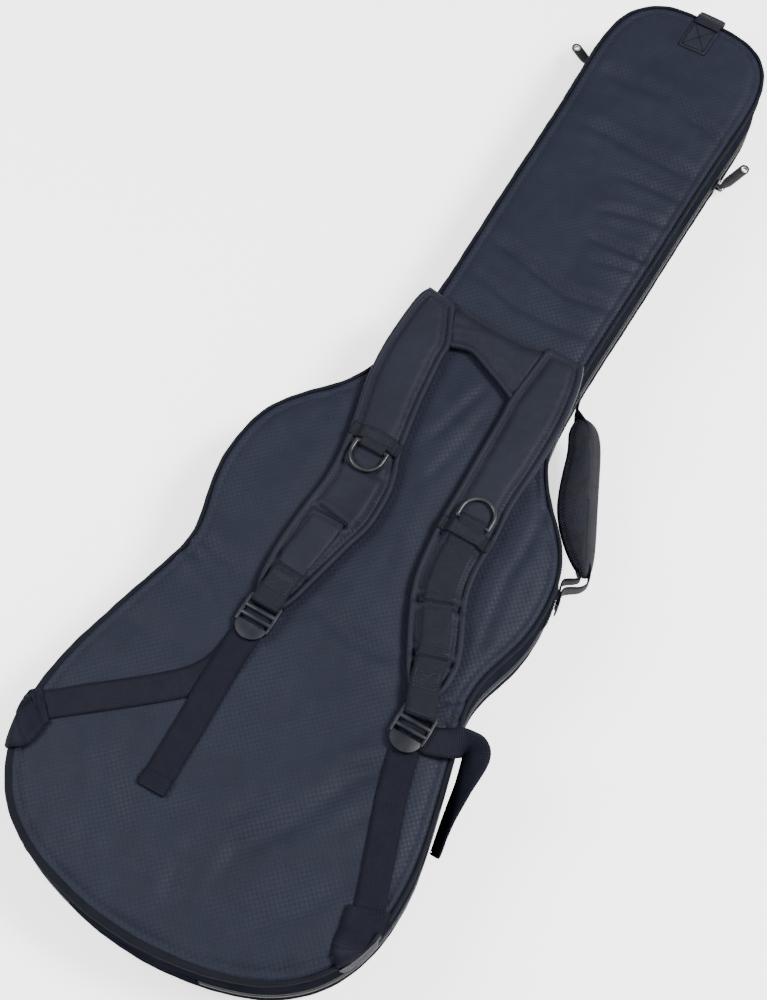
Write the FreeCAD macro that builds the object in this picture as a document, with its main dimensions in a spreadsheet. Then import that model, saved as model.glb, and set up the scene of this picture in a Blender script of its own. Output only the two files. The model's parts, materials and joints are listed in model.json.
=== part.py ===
# Padded gig bag for an electric guitar, lying on its front panel, back panel and
# shoulder straps upward.  Millimetres, +Z up, +Y towards the head (neck end),
# +X towards the side with the carry handle.  The origin is on the resting plane,
# half way along the bag, on its centre plane.
import FreeCAD, Part
import os, math
import Sketcher

V = FreeCAD.Vector
doc = FreeCAD.newDocument("gig_bag")

# ------------------------------------------------------------------ dimensions
sheet = doc.addObject("Spreadsheet::Sheet", "dims")
CELLS = [
    ("bag_length", 1040), ("lower_half", 172.5), ("edge_inset", 2.2),
    # heights above the resting plane
    ("front_skin_low", 0.0), ("front_skin_thick", 1.2),
    ("front_foam_low", 1.2), ("front_foam_thick", 10.0),
    ("front_lining_low", 11.2), ("lining_thick", 0.8),
    ("front_gusset_low", 1.2), ("front_gusset_high", 17.8),
    ("front_gusset_wall", 3.0),
    ("zip_plane", 22.0), ("tape_low", 14.0), ("tape_half", 8.0),
    ("tape_thick", 1.0), ("teeth_high", 1.5), ("teeth_out", 2.2), ("teeth_in", 1.0),
    ("back_gusset_low", 26.0), ("back_gusset_high", 72.0),
    ("gusset_skin", 1.2), ("gusset_wall", 6.0),
    ("back_lining_low", 61.0), ("back_foam_low", 61.8), ("back_foam_thick", 10.2),
    ("back_skin_low", 72.0), ("back_skin_thick", 1.2),
    ("binding_out", 2.6), ("binding_high", 5.4), ("back_binding_low", 69.4),
    ("hinge_half", 62.0),
    # webbing and straps
    ("webbing", 25.0), ("web_thick", 1.8),
    ("strap_low", 75.2), ("strap_thick", 11.0),
    ("strap_top", 86.2), ("yoke_thick", 10.0),
    ("wire_r", 1.7), ("dring_inner", 26.6), ("dring_deep", 20.0),
    ("lock_wide", 35.0), ("lock_long", 26.0), ("lock_thick", 5.6),
    ("lock_bar", 3.6),
    ("grip_low", 33.0), ("grip_thick", 13.0),
    ("pull_long", 30.0), ("pull_long_right", 39.0), ("pull_wide", 10.0), ("pull_thick", 1.8),
]
for i, (alias, value) in enumerate(CELLS, start=1):
    sheet.set("A%d" % i, alias)
    sheet.set("B%d" % i, str(value))
    sheet.setAlias("B%d" % i, alias)
doc.recompute()


def D(alias):
    return float(sheet.get(alias))


nodes = []          # every object that becomes a node


def keep(obj, label):
    obj.Label = label
    nodes.append(obj)
    return obj


# ------------------------------------------------------------------ the outline
# Right half of the outline over the bindings (the side wall lies edge_inset inside it), from the head's tip round to the
# bottom.  The same points mirrored make the left half.
HALF = [(0, 520.6), (24, 520.2), (44, 517), (61, 507.5), (74, 492.5), (81.5, 472),
        (84.2, 446), (83.6, 415), (81.6, 370), (80.6, 320), (80.3, 270), (79.6, 215),
        (78.2, 165), (77.6, 120), (78.4, 80), (81.5, 48), (87.5, 20), (97.5, -3),
        (110, -20), (123.5, -34.5), (137, -50), (147.5, -67), (154, -87),
        (156.6, -110), (156.4, -133), (152.5, -155), (146.5, -174), (141, -192),
        (139.2, -209), (141.2, -226), (146.2, -244), (153, -270), (160, -298),
        (167, -327), (172.4, -355), (174.4, -382), (172.8, -408), (167.6, -432),
        (159, -452), (146.5, -470.5), (130, -486), (110, -498.5), (87, -507.5),
        (60, -514.5), (30, -519.6), (0, -521)]
poles = [V(x * D("lower_half") / 172.5, y * D("bag_length") / 1040.0, 0) for x, y in HALF]
poles += [V(-p.x, p.y, 0) for p in reversed(poles[1:-1])]
base_curve = Part.BSplineCurve()
base_curve.buildFromPoles(poles, True, 3)


def outline_points(offset, count=150):
    """Points of the outline moved outwards by offset."""
    out = []
    a, b = base_curve.FirstParameter, base_curve.LastParameter
    for i in range(count):
        u = a + (b - a) * i / count
        p = base_curve.value(u)
        t = base_curve.tangent(u)[0]
        n = V(-t.y, t.x, 0)
        n.normalize()
        out.append(p + n * offset)
    return out


# make sure that the normal points outwards
_p = outline_points(10, 8)[0]
SIGN = 1.0 if _p.y > base_curve.value(base_curve.FirstParameter).y else -1.0


def outline_curve(offset):
    c = Part.BSplineCurve()
    c.interpolate(Points=outline_points(SIGN * (offset - D("edge_inset"))), PeriodicFlag=True)
    return c


def plane_of(body, role="XY_Plane"):
    for f in body.Origin.OriginFeatures:
        if f.Role == role:
            return f


def padded_body(name, curves, low, high_expr, add=True):
    """A PartDesign body: one sketch of closed curves on XY at height low, padded."""
    body = doc.addObject("PartDesign::Body", name + "_body")
    sk = body.newObject("Sketcher::SketchObject", name + "_sketch")
    sk.AttachmentSupport = [(plane_of(body), "")]
    sk.MapMode = "FlatFace"
    for group in curves:
        for g in group:
            sk.addGeometry(g, False)
    sk.setExpression("AttachmentOffset.Base.z", low)
    pad = body.newObject("PartDesign::Pad", name + "_pad")
    pad.Profile = sk
    pad.setExpression("Length", high_expr)
    if add:
        keep(body, name)
    else:
        body.Label = name + "_blank"
    return body


def polygon(points):
    g = []
    for i in range(len(points)):
        a, b = points[i], points[(i + 1) % len(points)]
        g.append(Part.LineSegment(V(a[0], a[1], 0), V(b[0], b[1], 0)))
    return g


def smooth_loop(points):
    """Closed smooth curve that rounds the corners of a ring of points."""
    c = Part.BSplineCurve()
    c.buildFromPoles([V(x, y, 0) for x, y in points], True, 3)
    return [c]


def feature(name, shape, add=True):
    f = doc.addObject("Part::Feature", name + "_shape")
    f.Shape = shape
    f.Placement = shape.Placement
    if add:
        keep(f, name)
    return f


# --------------------------------------------------- front lid (rests on floor)
padded_body("front_outer", [[outline_curve(0.0)]], "dims.front_skin_low", "dims.front_skin_thick")
padded_body("front_foam", [[outline_curve(-D("front_gusset_wall") - 0.1)]], "dims.front_foam_low", "dims.front_foam_thick")
padded_body("front_lining", [[outline_curve(-D("front_gusset_wall") - 0.1)]], "dims.front_lining_low", "dims.lining_thick")
padded_body("front_gusset", [[outline_curve(0.0)], [outline_curve(-D("front_gusset_wall"))]],
            "dims.front_gusset_low", "dims.front_gusset_high - dims.front_gusset_low")
padded_body("front_binding", [[outline_curve(D("binding_out"))], [outline_curve(0.05)]],
            "dims.front_skin_low", "dims.binding_high")

# ------------------------------------------------------- back shell, upper part
padded_body("back_gusset", [[outline_curve(0.0)], [outline_curve(-D("gusset_skin"))]],
            "dims.back_gusset_low", "dims.back_gusset_high - dims.back_gusset_low")
padded_body("gusset_foam", [[outline_curve(-D("gusset_skin") - 0.05)], [outline_curve(-D("gusset_wall"))]],
            "dims.back_gusset_low", "dims.back_gusset_high - dims.back_gusset_low")
padded_body("back_lining", [[outline_curve(-D("gusset_wall") - 0.1)]], "dims.back_lining_low", "dims.lining_thick")
padded_body("back_foam", [[outline_curve(-D("gusset_wall") - 0.1)]], "dims.back_foam_low", "dims.back_foam_thick")
padded_body("back_outer", [[outline_curve(0.0)]], "dims.back_skin_low", "dims.back_skin_thick")
padded_body("back_binding", [[outline_curve(D("binding_out"))], [outline_curve(0.05)]],
            "dims.back_binding_low", "dims.binding_high")


# ------------------------------------------------------------------ main zipper
# The chain runs along the side wall all the way round but for the short stretch
# at the bottom where the two shells stay joined, and which is their hinge.
def open_ring(name, out, inn, low, high):
    ring = padded_body(name, [[outline_curve(out)], [outline_curve(inn)]], low, high, add=False)
    gap = doc.addObject("Part::Box", name + "_gap")
    gap.setExpression("Length", "2 * dims.hinge_half")
    gap.setExpression("Placement.Base.x", "-dims.hinge_half")
    gap.Width = 60
    gap.Height = 100
    gap.Placement.Base.y = -545
    cut = doc.addObject("Part::Cut", name + "_cut")
    cut.Base = ring
    cut.Tool = gap
    keep(cut, name)
    return cut


open_ring("front_zip_tape", D("tape_thick"), 0.05, "dims.tape_low", "dims.tape_half - dims.teeth_high - 0.2")
open_ring("front_zip_teeth", D("teeth_out"), -D("teeth_in"), "dims.zip_plane - dims.teeth_high - 0.15", "dims.teeth_high")
open_ring("back_zip_teeth", D("teeth_out"), -D("teeth_in"), "dims.zip_plane + 0.15", "dims.teeth_high")
open_ring("back_zip_tape", D("tape_thick"), 0.05, "dims.zip_plane + dims.teeth_high + 0.2", "dims.tape_half - dims.teeth_high - 0.2")


def hull_strip(name, half, out, low, high):
    """Strip of the outline's band at the bottom, |x| < half."""
    band = padded_body(name, [[outline_curve(out)], [outline_curve(0.05)]], low, high, add=False)
    box = doc.addObject("Part::Box", name + "_box")
    box.Length = 2 * half
    box.Width = 60
    box.Height = 120
    box.Placement.Base = V(-half, -545, -5)
    com = doc.addObject("Part::Common", name + "_common")
    com.Base = band
    com.Tool = box
    keep(com, name)
    return com


hull_strip("hinge_strip", D("hinge_half") - 0.6, 1.2, "dims.tape_low", "2 * dims.tape_half")


def rounded_plate(cx, cy, w, h, r, z, t, angle=0.0):
    """Flat plate with rounded corners, centred at cx, cy."""
    b = Part.makeBox(w, h, t, V(-w / 2, -h / 2, 0))
    if r > 0:
        ed = [e for e in b.Edges if abs(e.Vertexes[0].Point.x - e.Vertexes[1].Point.x) < 1e-6
              and abs(e.Vertexes[0].Point.y - e.Vertexes[1].Point.y) < 1e-6]
        b = b.makeFillet(r, ed)
    b.rotate(V(0, 0, 0), V(0, 0, 1), angle)
    b.translate(V(cx, cy, z))
    return b


def ribbon(points, width, thick, side=None):
    """Flat webbing along points; side gives the width direction at each point."""
    n = len(points)
    pts = [V(*p) for p in points]
    sides = []
    for i in range(n):
        if side is not None and side[i] is not None:
            s = V(*side[i])
        else:
            t = (pts[min(i + 1, n - 1)] - pts[max(i - 1, 0)])
            s = t.cross(V(0, 0, 1))
        s.normalize()
        sides.append(s)
    rings = []
    for i in range(n):
        t = (pts[min(i + 1, n - 1)] - pts[max(i - 1, 0)])
        t.normalize()
        s = sides[i]
        up = s.cross(t)
        up.normalize()
        w = width[i] if isinstance(width, (list, tuple)) else width
        a = pts[i] - s * (w / 2.0)
        b = pts[i] + s * (w / 2.0)
        u = up * (thick / 2.0)
        rings.append([a - u, b - u, b + u, a + u])
    faces = []

    def tri(a, b, c):
        faces.append(Part.Face(Part.makePolygon([a, b, c, a])))

    for i in range(n - 1):
        r0, r1 = rings[i], rings[i + 1]
        for k in range(4):
            a, b = r0[k], r0[(k + 1) % 4]
            c, d = r1[(k + 1) % 4], r1[k]
            tri(a, b, c)
            tri(a, c, d)
    for r in (rings[0], rings[-1]):
        tri(r[0], r[1], r[2])
        tri(r[0], r[2], r[3])
    solid = Part.Solid(Part.Shell(faces))
    if solid.Volume < 0:
        solid.reverse()
    return solid


# zip sliders: each one a plate over the teeth with a bridge for its pull.  They
# stand on the straight sides of the neck, y along it, x out from the teeth.
def slider_shape(sx, xo, yc, lean):
    outer = rounded_plate(0, 0, 9.0, 14.0, 2.0, 0, 1.3)
    outer.rotate(V(0, 0, 0), V(0, 1, 0), 90)
    lug_a = Part.makeBox(6.2, 4.0, 1.2, V(1.2, -2.0, 1.7))
    lug_b = Part.makeBox(6.2, 4.0, 1.2, V(1.2, -2.0, -2.9))
    pin = Part.makeCylinder(1.1, 5.0, V(5.2, 0, -2.5))
    s = outer.fuse([lug_a, lug_b, pin]).removeSplitter()
    s.rotate(V(0, 0, 0), V(0, 0, 1), -lean)
    s.translate(V(xo, yc, D("zip_plane")))
    if sx < 0:
        s = s.mirror(V(0, 0, 0), V(1, 0, 0))
    return s


S_LEFT = (84.9, 449.0)
S_RIGHT = (83.1, 384.0)
feature("zip_slider_left", slider_shape(-1, S_LEFT[0], S_LEFT[1], 1.2))
feature("zip_slider_right", slider_shape(1, S_RIGHT[0], S_RIGHT[1], 0.9))


def pull_shape(long_key="pull_long"):
    """Flat pull tab from its eye at the origin along +X, a hole at its far end."""
    L, w, t = D(long_key), D("pull_wide"), D("pull_thick")
    pts = [V(0, -3, 0), V(3, -3, 0), V(9, -w / 2, 0), V(L - w / 2, -w / 2, 0), V(L - w / 2, w / 2, 0),
           V(9, w / 2, 0), V(3, 3, 0), V(0, 3, 0), V(0, -3, 0)]
    p = Part.Face(Part.makePolygon(pts)).extrude(V(0, 0, t))
    p = p.fuse([Part.makeCylinder(3.0, t), Part.makeCylinder(w / 2, t, V(L - w / 2, 0, 0))]).removeSplitter()
    p = p.cut(Part.makeCylinder(1.6, 6, V(0, 0, -2)))
    p = p.cut(Part.makeCylinder(2.2, 6, V(L - 6.0, 0, -2)))
    p.translate(V(0, 0, -t / 2))
    return p


def placed_pull(xo, yc, angle, long_key="pull_long"):
    p = pull_shape(long_key)
    p.rotate(V(0, 0, 0), V(0, 0, 1), angle)
    p.translate(V(xo, yc, D("zip_plane")))
    return p


feature("zip_pull_left", placed_pull(-(S_LEFT[0] + 5.2), S_LEFT[1], 180 - 30))
feature("zip_pull_right", placed_pull(S_RIGHT[0] + 5.2, S_RIGHT[1], 72, "pull_long_right"))

# ----------------------------------------------------- pieces inside the bag
cradle = Part.makeBox(132, 46, 29.6, V(-66, 62, 31.2))
notch = Part.makeBox(60, 60, 26, V(-30, 55, 25))
cradle = cradle.cut(notch)
feature("neck_cradle", cradle)
feature("neck_strap", ribbon([(-68.6, 85, 40), (-67.4, 85, 30.2), (-60, 85, 27.6), (60, 85, 27.6), (67.4, 85, 30.2), (68.6, 85, 40)],
                             D("webbing"), 1.6, side=[(0, 1, 0)] * 6))
pad_ring = padded_body("end_pad", [[outline_curve(-D("gusset_wall") - 0.2)], [outline_curve(-D("gusset_wall") - 12)]],
                       "dims.back_gusset_low + 2", "dims.back_lining_low - dims.back_gusset_low - 2.2", add=False)
pad_box = doc.addObject("Part::Box", "end_pad_box")
pad_box.Length = 170
pad_box.Width = 60
pad_box.Height = 120
pad_box.Placement.Base = V(-85, -545, -5)
pad_com = doc.addObject("Part::Common", "end_pad_common")
pad_com.Base = pad_ring
pad_com.Tool = pad_box
keep(pad_com, "end_pad")

# ------------------------------------------------------------ strap yoke, straps
ZS = D("strap_low")
padded_body("yoke", [polygon([(-53.5, 104), (-20, 101), (20, 101), (36.6, 106), (32.0, 47.5), (15, 53),
                              (-7, 64), (-33.4, 70.5)])], "dims.strap_low", "dims.yoke_thick")

LEFT_OUT = [(-84, 107), (-88.5, 92), (-90, 70), (-90, 36), (-87, 6), (-81.5, -20), (-73, -54), (-68, -82),
            (-66.5, -108), (-68.5, -136), (-69.5, -168), (-68.5, -196), (-65.5, -216), (-62, -226)]
LEFT_IN = [(-31.5, -228), (-27.5, -214), (-24, -198), (-20, -180), (-14, -152), (-8, -126), (-8.5, -95),
           (-13, -74), (-20, -55), (-24.5, -34), (-30, -4), (-33.5, 22), (-36.2, 45), (-38.5, 66), (-54.8, 103)]
RIGHT_OUT = [(75, 107), (82, 84), (87, 50), (88.5, 13), (88, -17), (87, -41), (88, -62), (90, -84), (90, -104),
             (91.5, -124), (97, -146), (109, -172), (117, -193), (119, -212), (117.5, -228)]
RIGHT_IN = [(90.5, -237), (80, -220), (69.5, -201), (56, -174), (46, -148), (41, -120), (38, -90), (37.5, -62),
            (36.5, -32), (35.5, -4), (34.5, 26), (33.6, 48), (38.0, 107)]
padded_body("strap_pad_left", [polygon(LEFT_OUT + LEFT_IN)], "dims.strap_low", "dims.strap_thick")
padded_body("strap_pad_right", [polygon(RIGHT_OUT + RIGHT_IN)], "dims.strap_low", "dims.strap_thick")

# webbing sewn along each pad, and the keeper band that holds the ring's bar
ZT = D("strap_top")
WT = D("web_thick")
L_RING = (-44.0, -64.0)
R_RING = (65.0, -81.0)
feature("strap_web_left", ribbon([(-43.0, -72, ZT + 1.0), (-42, -110, ZT + 1.0), (-42, -150, ZT + 1.0), (-45.5, -190, ZT + 1.0),
                                  (-47.5, -227, ZT + 1.0)], D("webbing"), WT, side=[(1, 0, 0)] * 5))
feature("strap_web_right", ribbon([(65.8, -99, ZT + 1.0), (66.5, -120, ZT + 1.0), (74, -155, ZT + 1.0), (90, -190, ZT + 1.0),
                                   (103.5, -229, ZT + 1.0)], D("webbing"), WT, side=[(1, 0, 0)] * 5))


def keeper(cx, cy, up):
    """Band across the pad and the short sleeve that the ring's bar turns in."""
    r = D("wire_r")
    band = Part.makeBox(54, 13, WT, V(cx - 27, cy + (4.2 if up > 0 else -17.2), ZT + 0.1))
    zc = ZT + 0.4 + 3.3
    tube = Part.makeCylinder(3.3, 24, V(cx - 12, cy, zc), V(1, 0, 0))
    foot = Part.makeBox(24, 7.6, 2.0, V(cx - 12, (cy if up > 0 else cy - 7.6), ZT + 0.1))
    s = tube.fuse([foot, band]).removeSplitter()
    s = s.cut(Part.makeCylinder(r + 0.3, 30, V(cx - 15, cy, zc), V(1, 0, 0)))
    return s


feature("ring_keeper_left", keeper(L_RING[0], L_RING[1], 1))
feature("ring_keeper_right", keeper(R_RING[0], R_RING[1], -1))


def d_ring(cx, cy, way):
    """Closed D of round wire: bar along X through (cx, cy), bow towards way * Y."""
    r = D("wire_r")
    zc = ZT + 0.4 + 3.3
    hw = D("dring_inner") / 2 + r
    leg = D("dring_deep") - hw + 3.0
    bar = Part.makeCylinder(r, 2 * hw, V(cx - hw, cy, zc), V(1, 0, 0))
    parts = []
    for sx in (-1, 1):
        parts.append(Part.makeSphere(r, V(cx + sx * hw, cy, zc)))
        parts.append(Part.makeCylinder(r, leg, V(cx + sx * hw, cy, zc), V(0, way, 0)))
    bow = Part.makeTorus(hw, r, V(cx, cy + way * leg, zc), V(0, 0, 1))
    half = Part.makeBox(4 * hw, 2 * hw, 4 * r, V(cx - 2 * hw, cy + way * leg if way > 0 else cy + way * leg - 2 * hw, zc - 2 * r))
    bow = bow.common(half)
    parts.append(bow)
    return bar.fuse(parts).removeSplitter()


feature("d_ring_left", d_ring(L_RING[0], L_RING[1], -1))
feature("d_ring_right", d_ring(R_RING[0], R_RING[1], 1))


def ladder_lock(cx, ytop):
    """Frame with three cross bars and a thumb tab; ytop is the edge at the pad."""
    w, l, t, b = D("lock_wide"), D("lock_long"), D("lock_thick"), D("lock_bar")
    z0 = 80.6
    s = rounded_plate(cx, ytop - l / 2, w, l, 3.0, z0, t)
    iw = w - 2 * b
    gap = (l - 3 * b) / 2
    s = s.cut(Part.makeBox(iw, gap, 20, V(cx - iw / 2, ytop - b - gap, z0 - 5)))
    s = s.cut(Part.makeBox(iw, gap, 20, V(cx - iw / 2, ytop - 2 * b - 2 * gap, z0 - 5)))
    tab = rounded_plate(cx, ytop - l - 2.5, w * 0.5, 11, 3.0, z0 + 1.6, t - 2.6)
    return s.fuse(tab).removeSplitter()


LL = (-47.8, -229.4)
RL = (110.4, -246.6)
feature("ladder_lock_left", ladder_lock(*LL))
feature("ladder_lock_right", ladder_lock(*RL))

# end loops of the strap webbing round the lock's first bar
ZL = 80.6
feature("strap_end_loop_left", ribbon([(-47.6, -228.5, 78.4), (-47.7, -233.0, 78.4)], D("webbing"), 2.0, side=[(1, 0, 0)] * 2))
feature("strap_end_loop_right", ribbon([(105.0, -234.2, 78.4), (109.8, -250.4, 78.4)], D("webbing"), 2.0, side=[(0.95, 0.32, 0), (1, 0, 0)]))

# ------------------------------------------ lower webbings, tails, anchor tabs
ZW = 76.0
feature("lower_web_left", ribbon([(-48.5, -251, 78.9), (-50.5, -276, 77.2), (-56, -310, ZW), (-76, -330, ZW), (-112, -360, ZW),
                                  (-160.5, -402, ZW)], D("webbing"), 1.8,
                                 side=[(1, 0, 0), (1, 0, 0), (0.9, -0.44, 0), (0.62, -0.785, 0), (0.65, -0.76, 0), (0.655, -0.756, 0)]))
feature("lower_web_right", ribbon([(112, -262, 78.9), (117, -286, 77.4), (124, -316, ZW), (133, -354, ZW), (143, -388, ZW),
                                   (155, -424, ZW)], D("webbing"), 1.8,
                                  side=[(1, 0.1, 0), (1, 0.2, 0), (1, 0.22, 0), (1, 0.27, 0), (1, 0.3, 0), (1, 0.33, 0)]))
feature("web_tail_left", ribbon([(-48.5, -265, 79.8), (-48, -300, 79.2), (-46.5, -340, 79.0), (-44, -412, 78.6)],
                                D("webbing"), 1.8, side=[(1, 0, 0)] * 4))
feature("web_tail_right", ribbon([(130.5, -264, 80.2), (141, -258, 81.5), (152, -251, 80.5), (160, -248, 77), (166, -254, 71.5), (168.5, -278, 63),
                                  (170.5, -305, 54), (174.5, -333, 46)], [18, 22, 24, 24, 24, 25, 25, 25], 1.8,
                                 side=[(0.1, 1, 0), (0.2, 1, 0), (0.42, 0.9, 0.2), (0.75, 0.6, 0.35), (0.85, 0.25, 0.45), (0.62, 0, 0.78), (0.45, 0, 0.9), (0.35, 0, 0.94)]))


def anchor_tab(px, py, nx, ny, w):
    """Folded webbing tab over the edge: a flap on the panel, one on the side wall."""
    n = V(nx, ny, 0)
    n.normalize()
    ang = math.degrees(math.atan2(n.y, n.x))
    top = Part.makeBox(17, w, 1.6, V(-14.0, -w / 2, 77.2))
    side = Part.makeBox(1.8, w * 0.8, 30, V(3.4, -w * 0.4, 47.0))
    over = Part.makeBox(4.4, w, 1.6, V(0.8, -w / 2, 77.2))
    s = top.fuse([over, side])
    s = s.fuse(Part.makeBox(1.8, w, 7.8, V(3.4, -w / 2, 71.0))).removeSplitter()
    s.rotate(V(0, 0, 0), V(0, 0, 1), ang)
    s.translate(V(px, py, 0))
    return s


feature("anchor_tab_left", anchor_tab(-169.6, -414, -0.972, -0.235, 34))
feature("anchor_tab_right", anchor_tab(163.0, -436, 0.90, -0.435, 34))

# ------------------------------------------------------------------ side handle
GRIP = [(94, 66), (98, 47), (103, 29), (109.5, 10), (117.5, -8), (128, -25), (141, -40), (156, -52), (167, -55.5),
        (171.5, -49), (164, -31), (149, 0), (134, 31), (117, 64), (106, 71)]
padded_body("handle_grip", [smooth_loop(GRIP)], "dims.grip_low", "dims.grip_thick")


def side_patch(name, y0, y1, z0, z1, thick, inner=0.1):
    """Webbing patch that follows the side wall between two stations along Y."""
    out = []
    a, b = base_curve.FirstParameter, base_curve.LastParameter
    pts = []
    for i in range(1200):
        u = a + (b - a) * i / 1200
        p = base_curve.value(u)
        if p.x > 0 and y0 <= p.y <= y1 and p.y > -200:
            t = base_curve.tangent(u)[0]
            n = V(-t.y, t.x, 0) * SIGN
            n.normalize()
            pts.append((p, n))
    pts = pts[::max(1, len(pts) // 6)]
    ring = [p + n * inner for p, n in pts] + [p + n * (inner + thick) for p, n in reversed(pts)]
    face = Part.Face(Part.makePolygon([V(q.x, q.y, z0) for q in ring] + [V(ring[0].x, ring[0].y, z0)]))
    return feature(name, face.extrude(V(0, 0, z1 - z0)))


side_patch("handle_patch_upper", 62, 100, 30.3, 52.5, 1.8, inner=-2.1)
side_patch("handle_patch_lower", -116, -80, 30.3, 52.5, 1.8, inner=-2.1)
feature("handle_web_upper", ribbon([(79.6, 86, 40), (82.2, 78, 40), (88, 74.5, 40), (97, 73.5, 40)],
                                   [24, 24, 24, 20], 2.0, side=[(0, 0, 1), (0, 0, 1), (0, 0.3, 1), (0.0, 0.6, 0.8)]))
feature("handle_web_lower", ribbon([(167.0, -61.5, 40), (166, -69, 40), (161.5, -76, 40), (157.5, -82, 40), (155.8, -90, 40)],
                                   [18, 22, 24, 24, 24], 2.0, side=[(0.6, 0, 0.8), (0.3, 0, 1), (0, 0, 1), (0, 0, 1), (0, 0, 1)]))

# ------------------------------------------------------------------ hang loop
feature("hang_loop_patch", rounded_plate(0, 493, 29, 37, 0.0, 73.3, 1.8))
feature("hang_loop", ribbon([(0, 521.4, 70.6), (0, 526.0, 70.6), (0, 529.2, 69.4), (0, 530.2, 67.0), (0, 529.2, 64.6), (0, 526.0, 63.4), (0, 521.4, 63.4)],
                            27, 1.6, side=[(1, 0, 0)] * 7))

# ------------------------------------------------------------------ check, write
doc.recompute()
bad = []
for o in doc.Objects:
    if "Invalid" in o.State or "Error" in o.State:
        bad.append("%s %s" % (o.Name, o.State))
for o in nodes:
    s = o.Shape
    if s.isNull() or not s.isValid() or not s.Solids or s.Volume <= 0:
        bad.append("%s has no valid solid" % o.Label)
if bad:
    raise RuntimeError("; ".join(bad))
os.makedirs("parts", exist_ok=True)
for old in os.listdir("parts"):
    if old.endswith(".step"):
        os.remove(os.path.join("parts", old))
for o in nodes:
    o.Shape.exportStep("parts/%s.step" % o.Label)
    print("%-22s solids %d volume %.1f cm3" % (o.Label, len(o.Shape.Solids), o.Shape.Volume / 1000.0))
print(len(nodes), "nodes")
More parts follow.
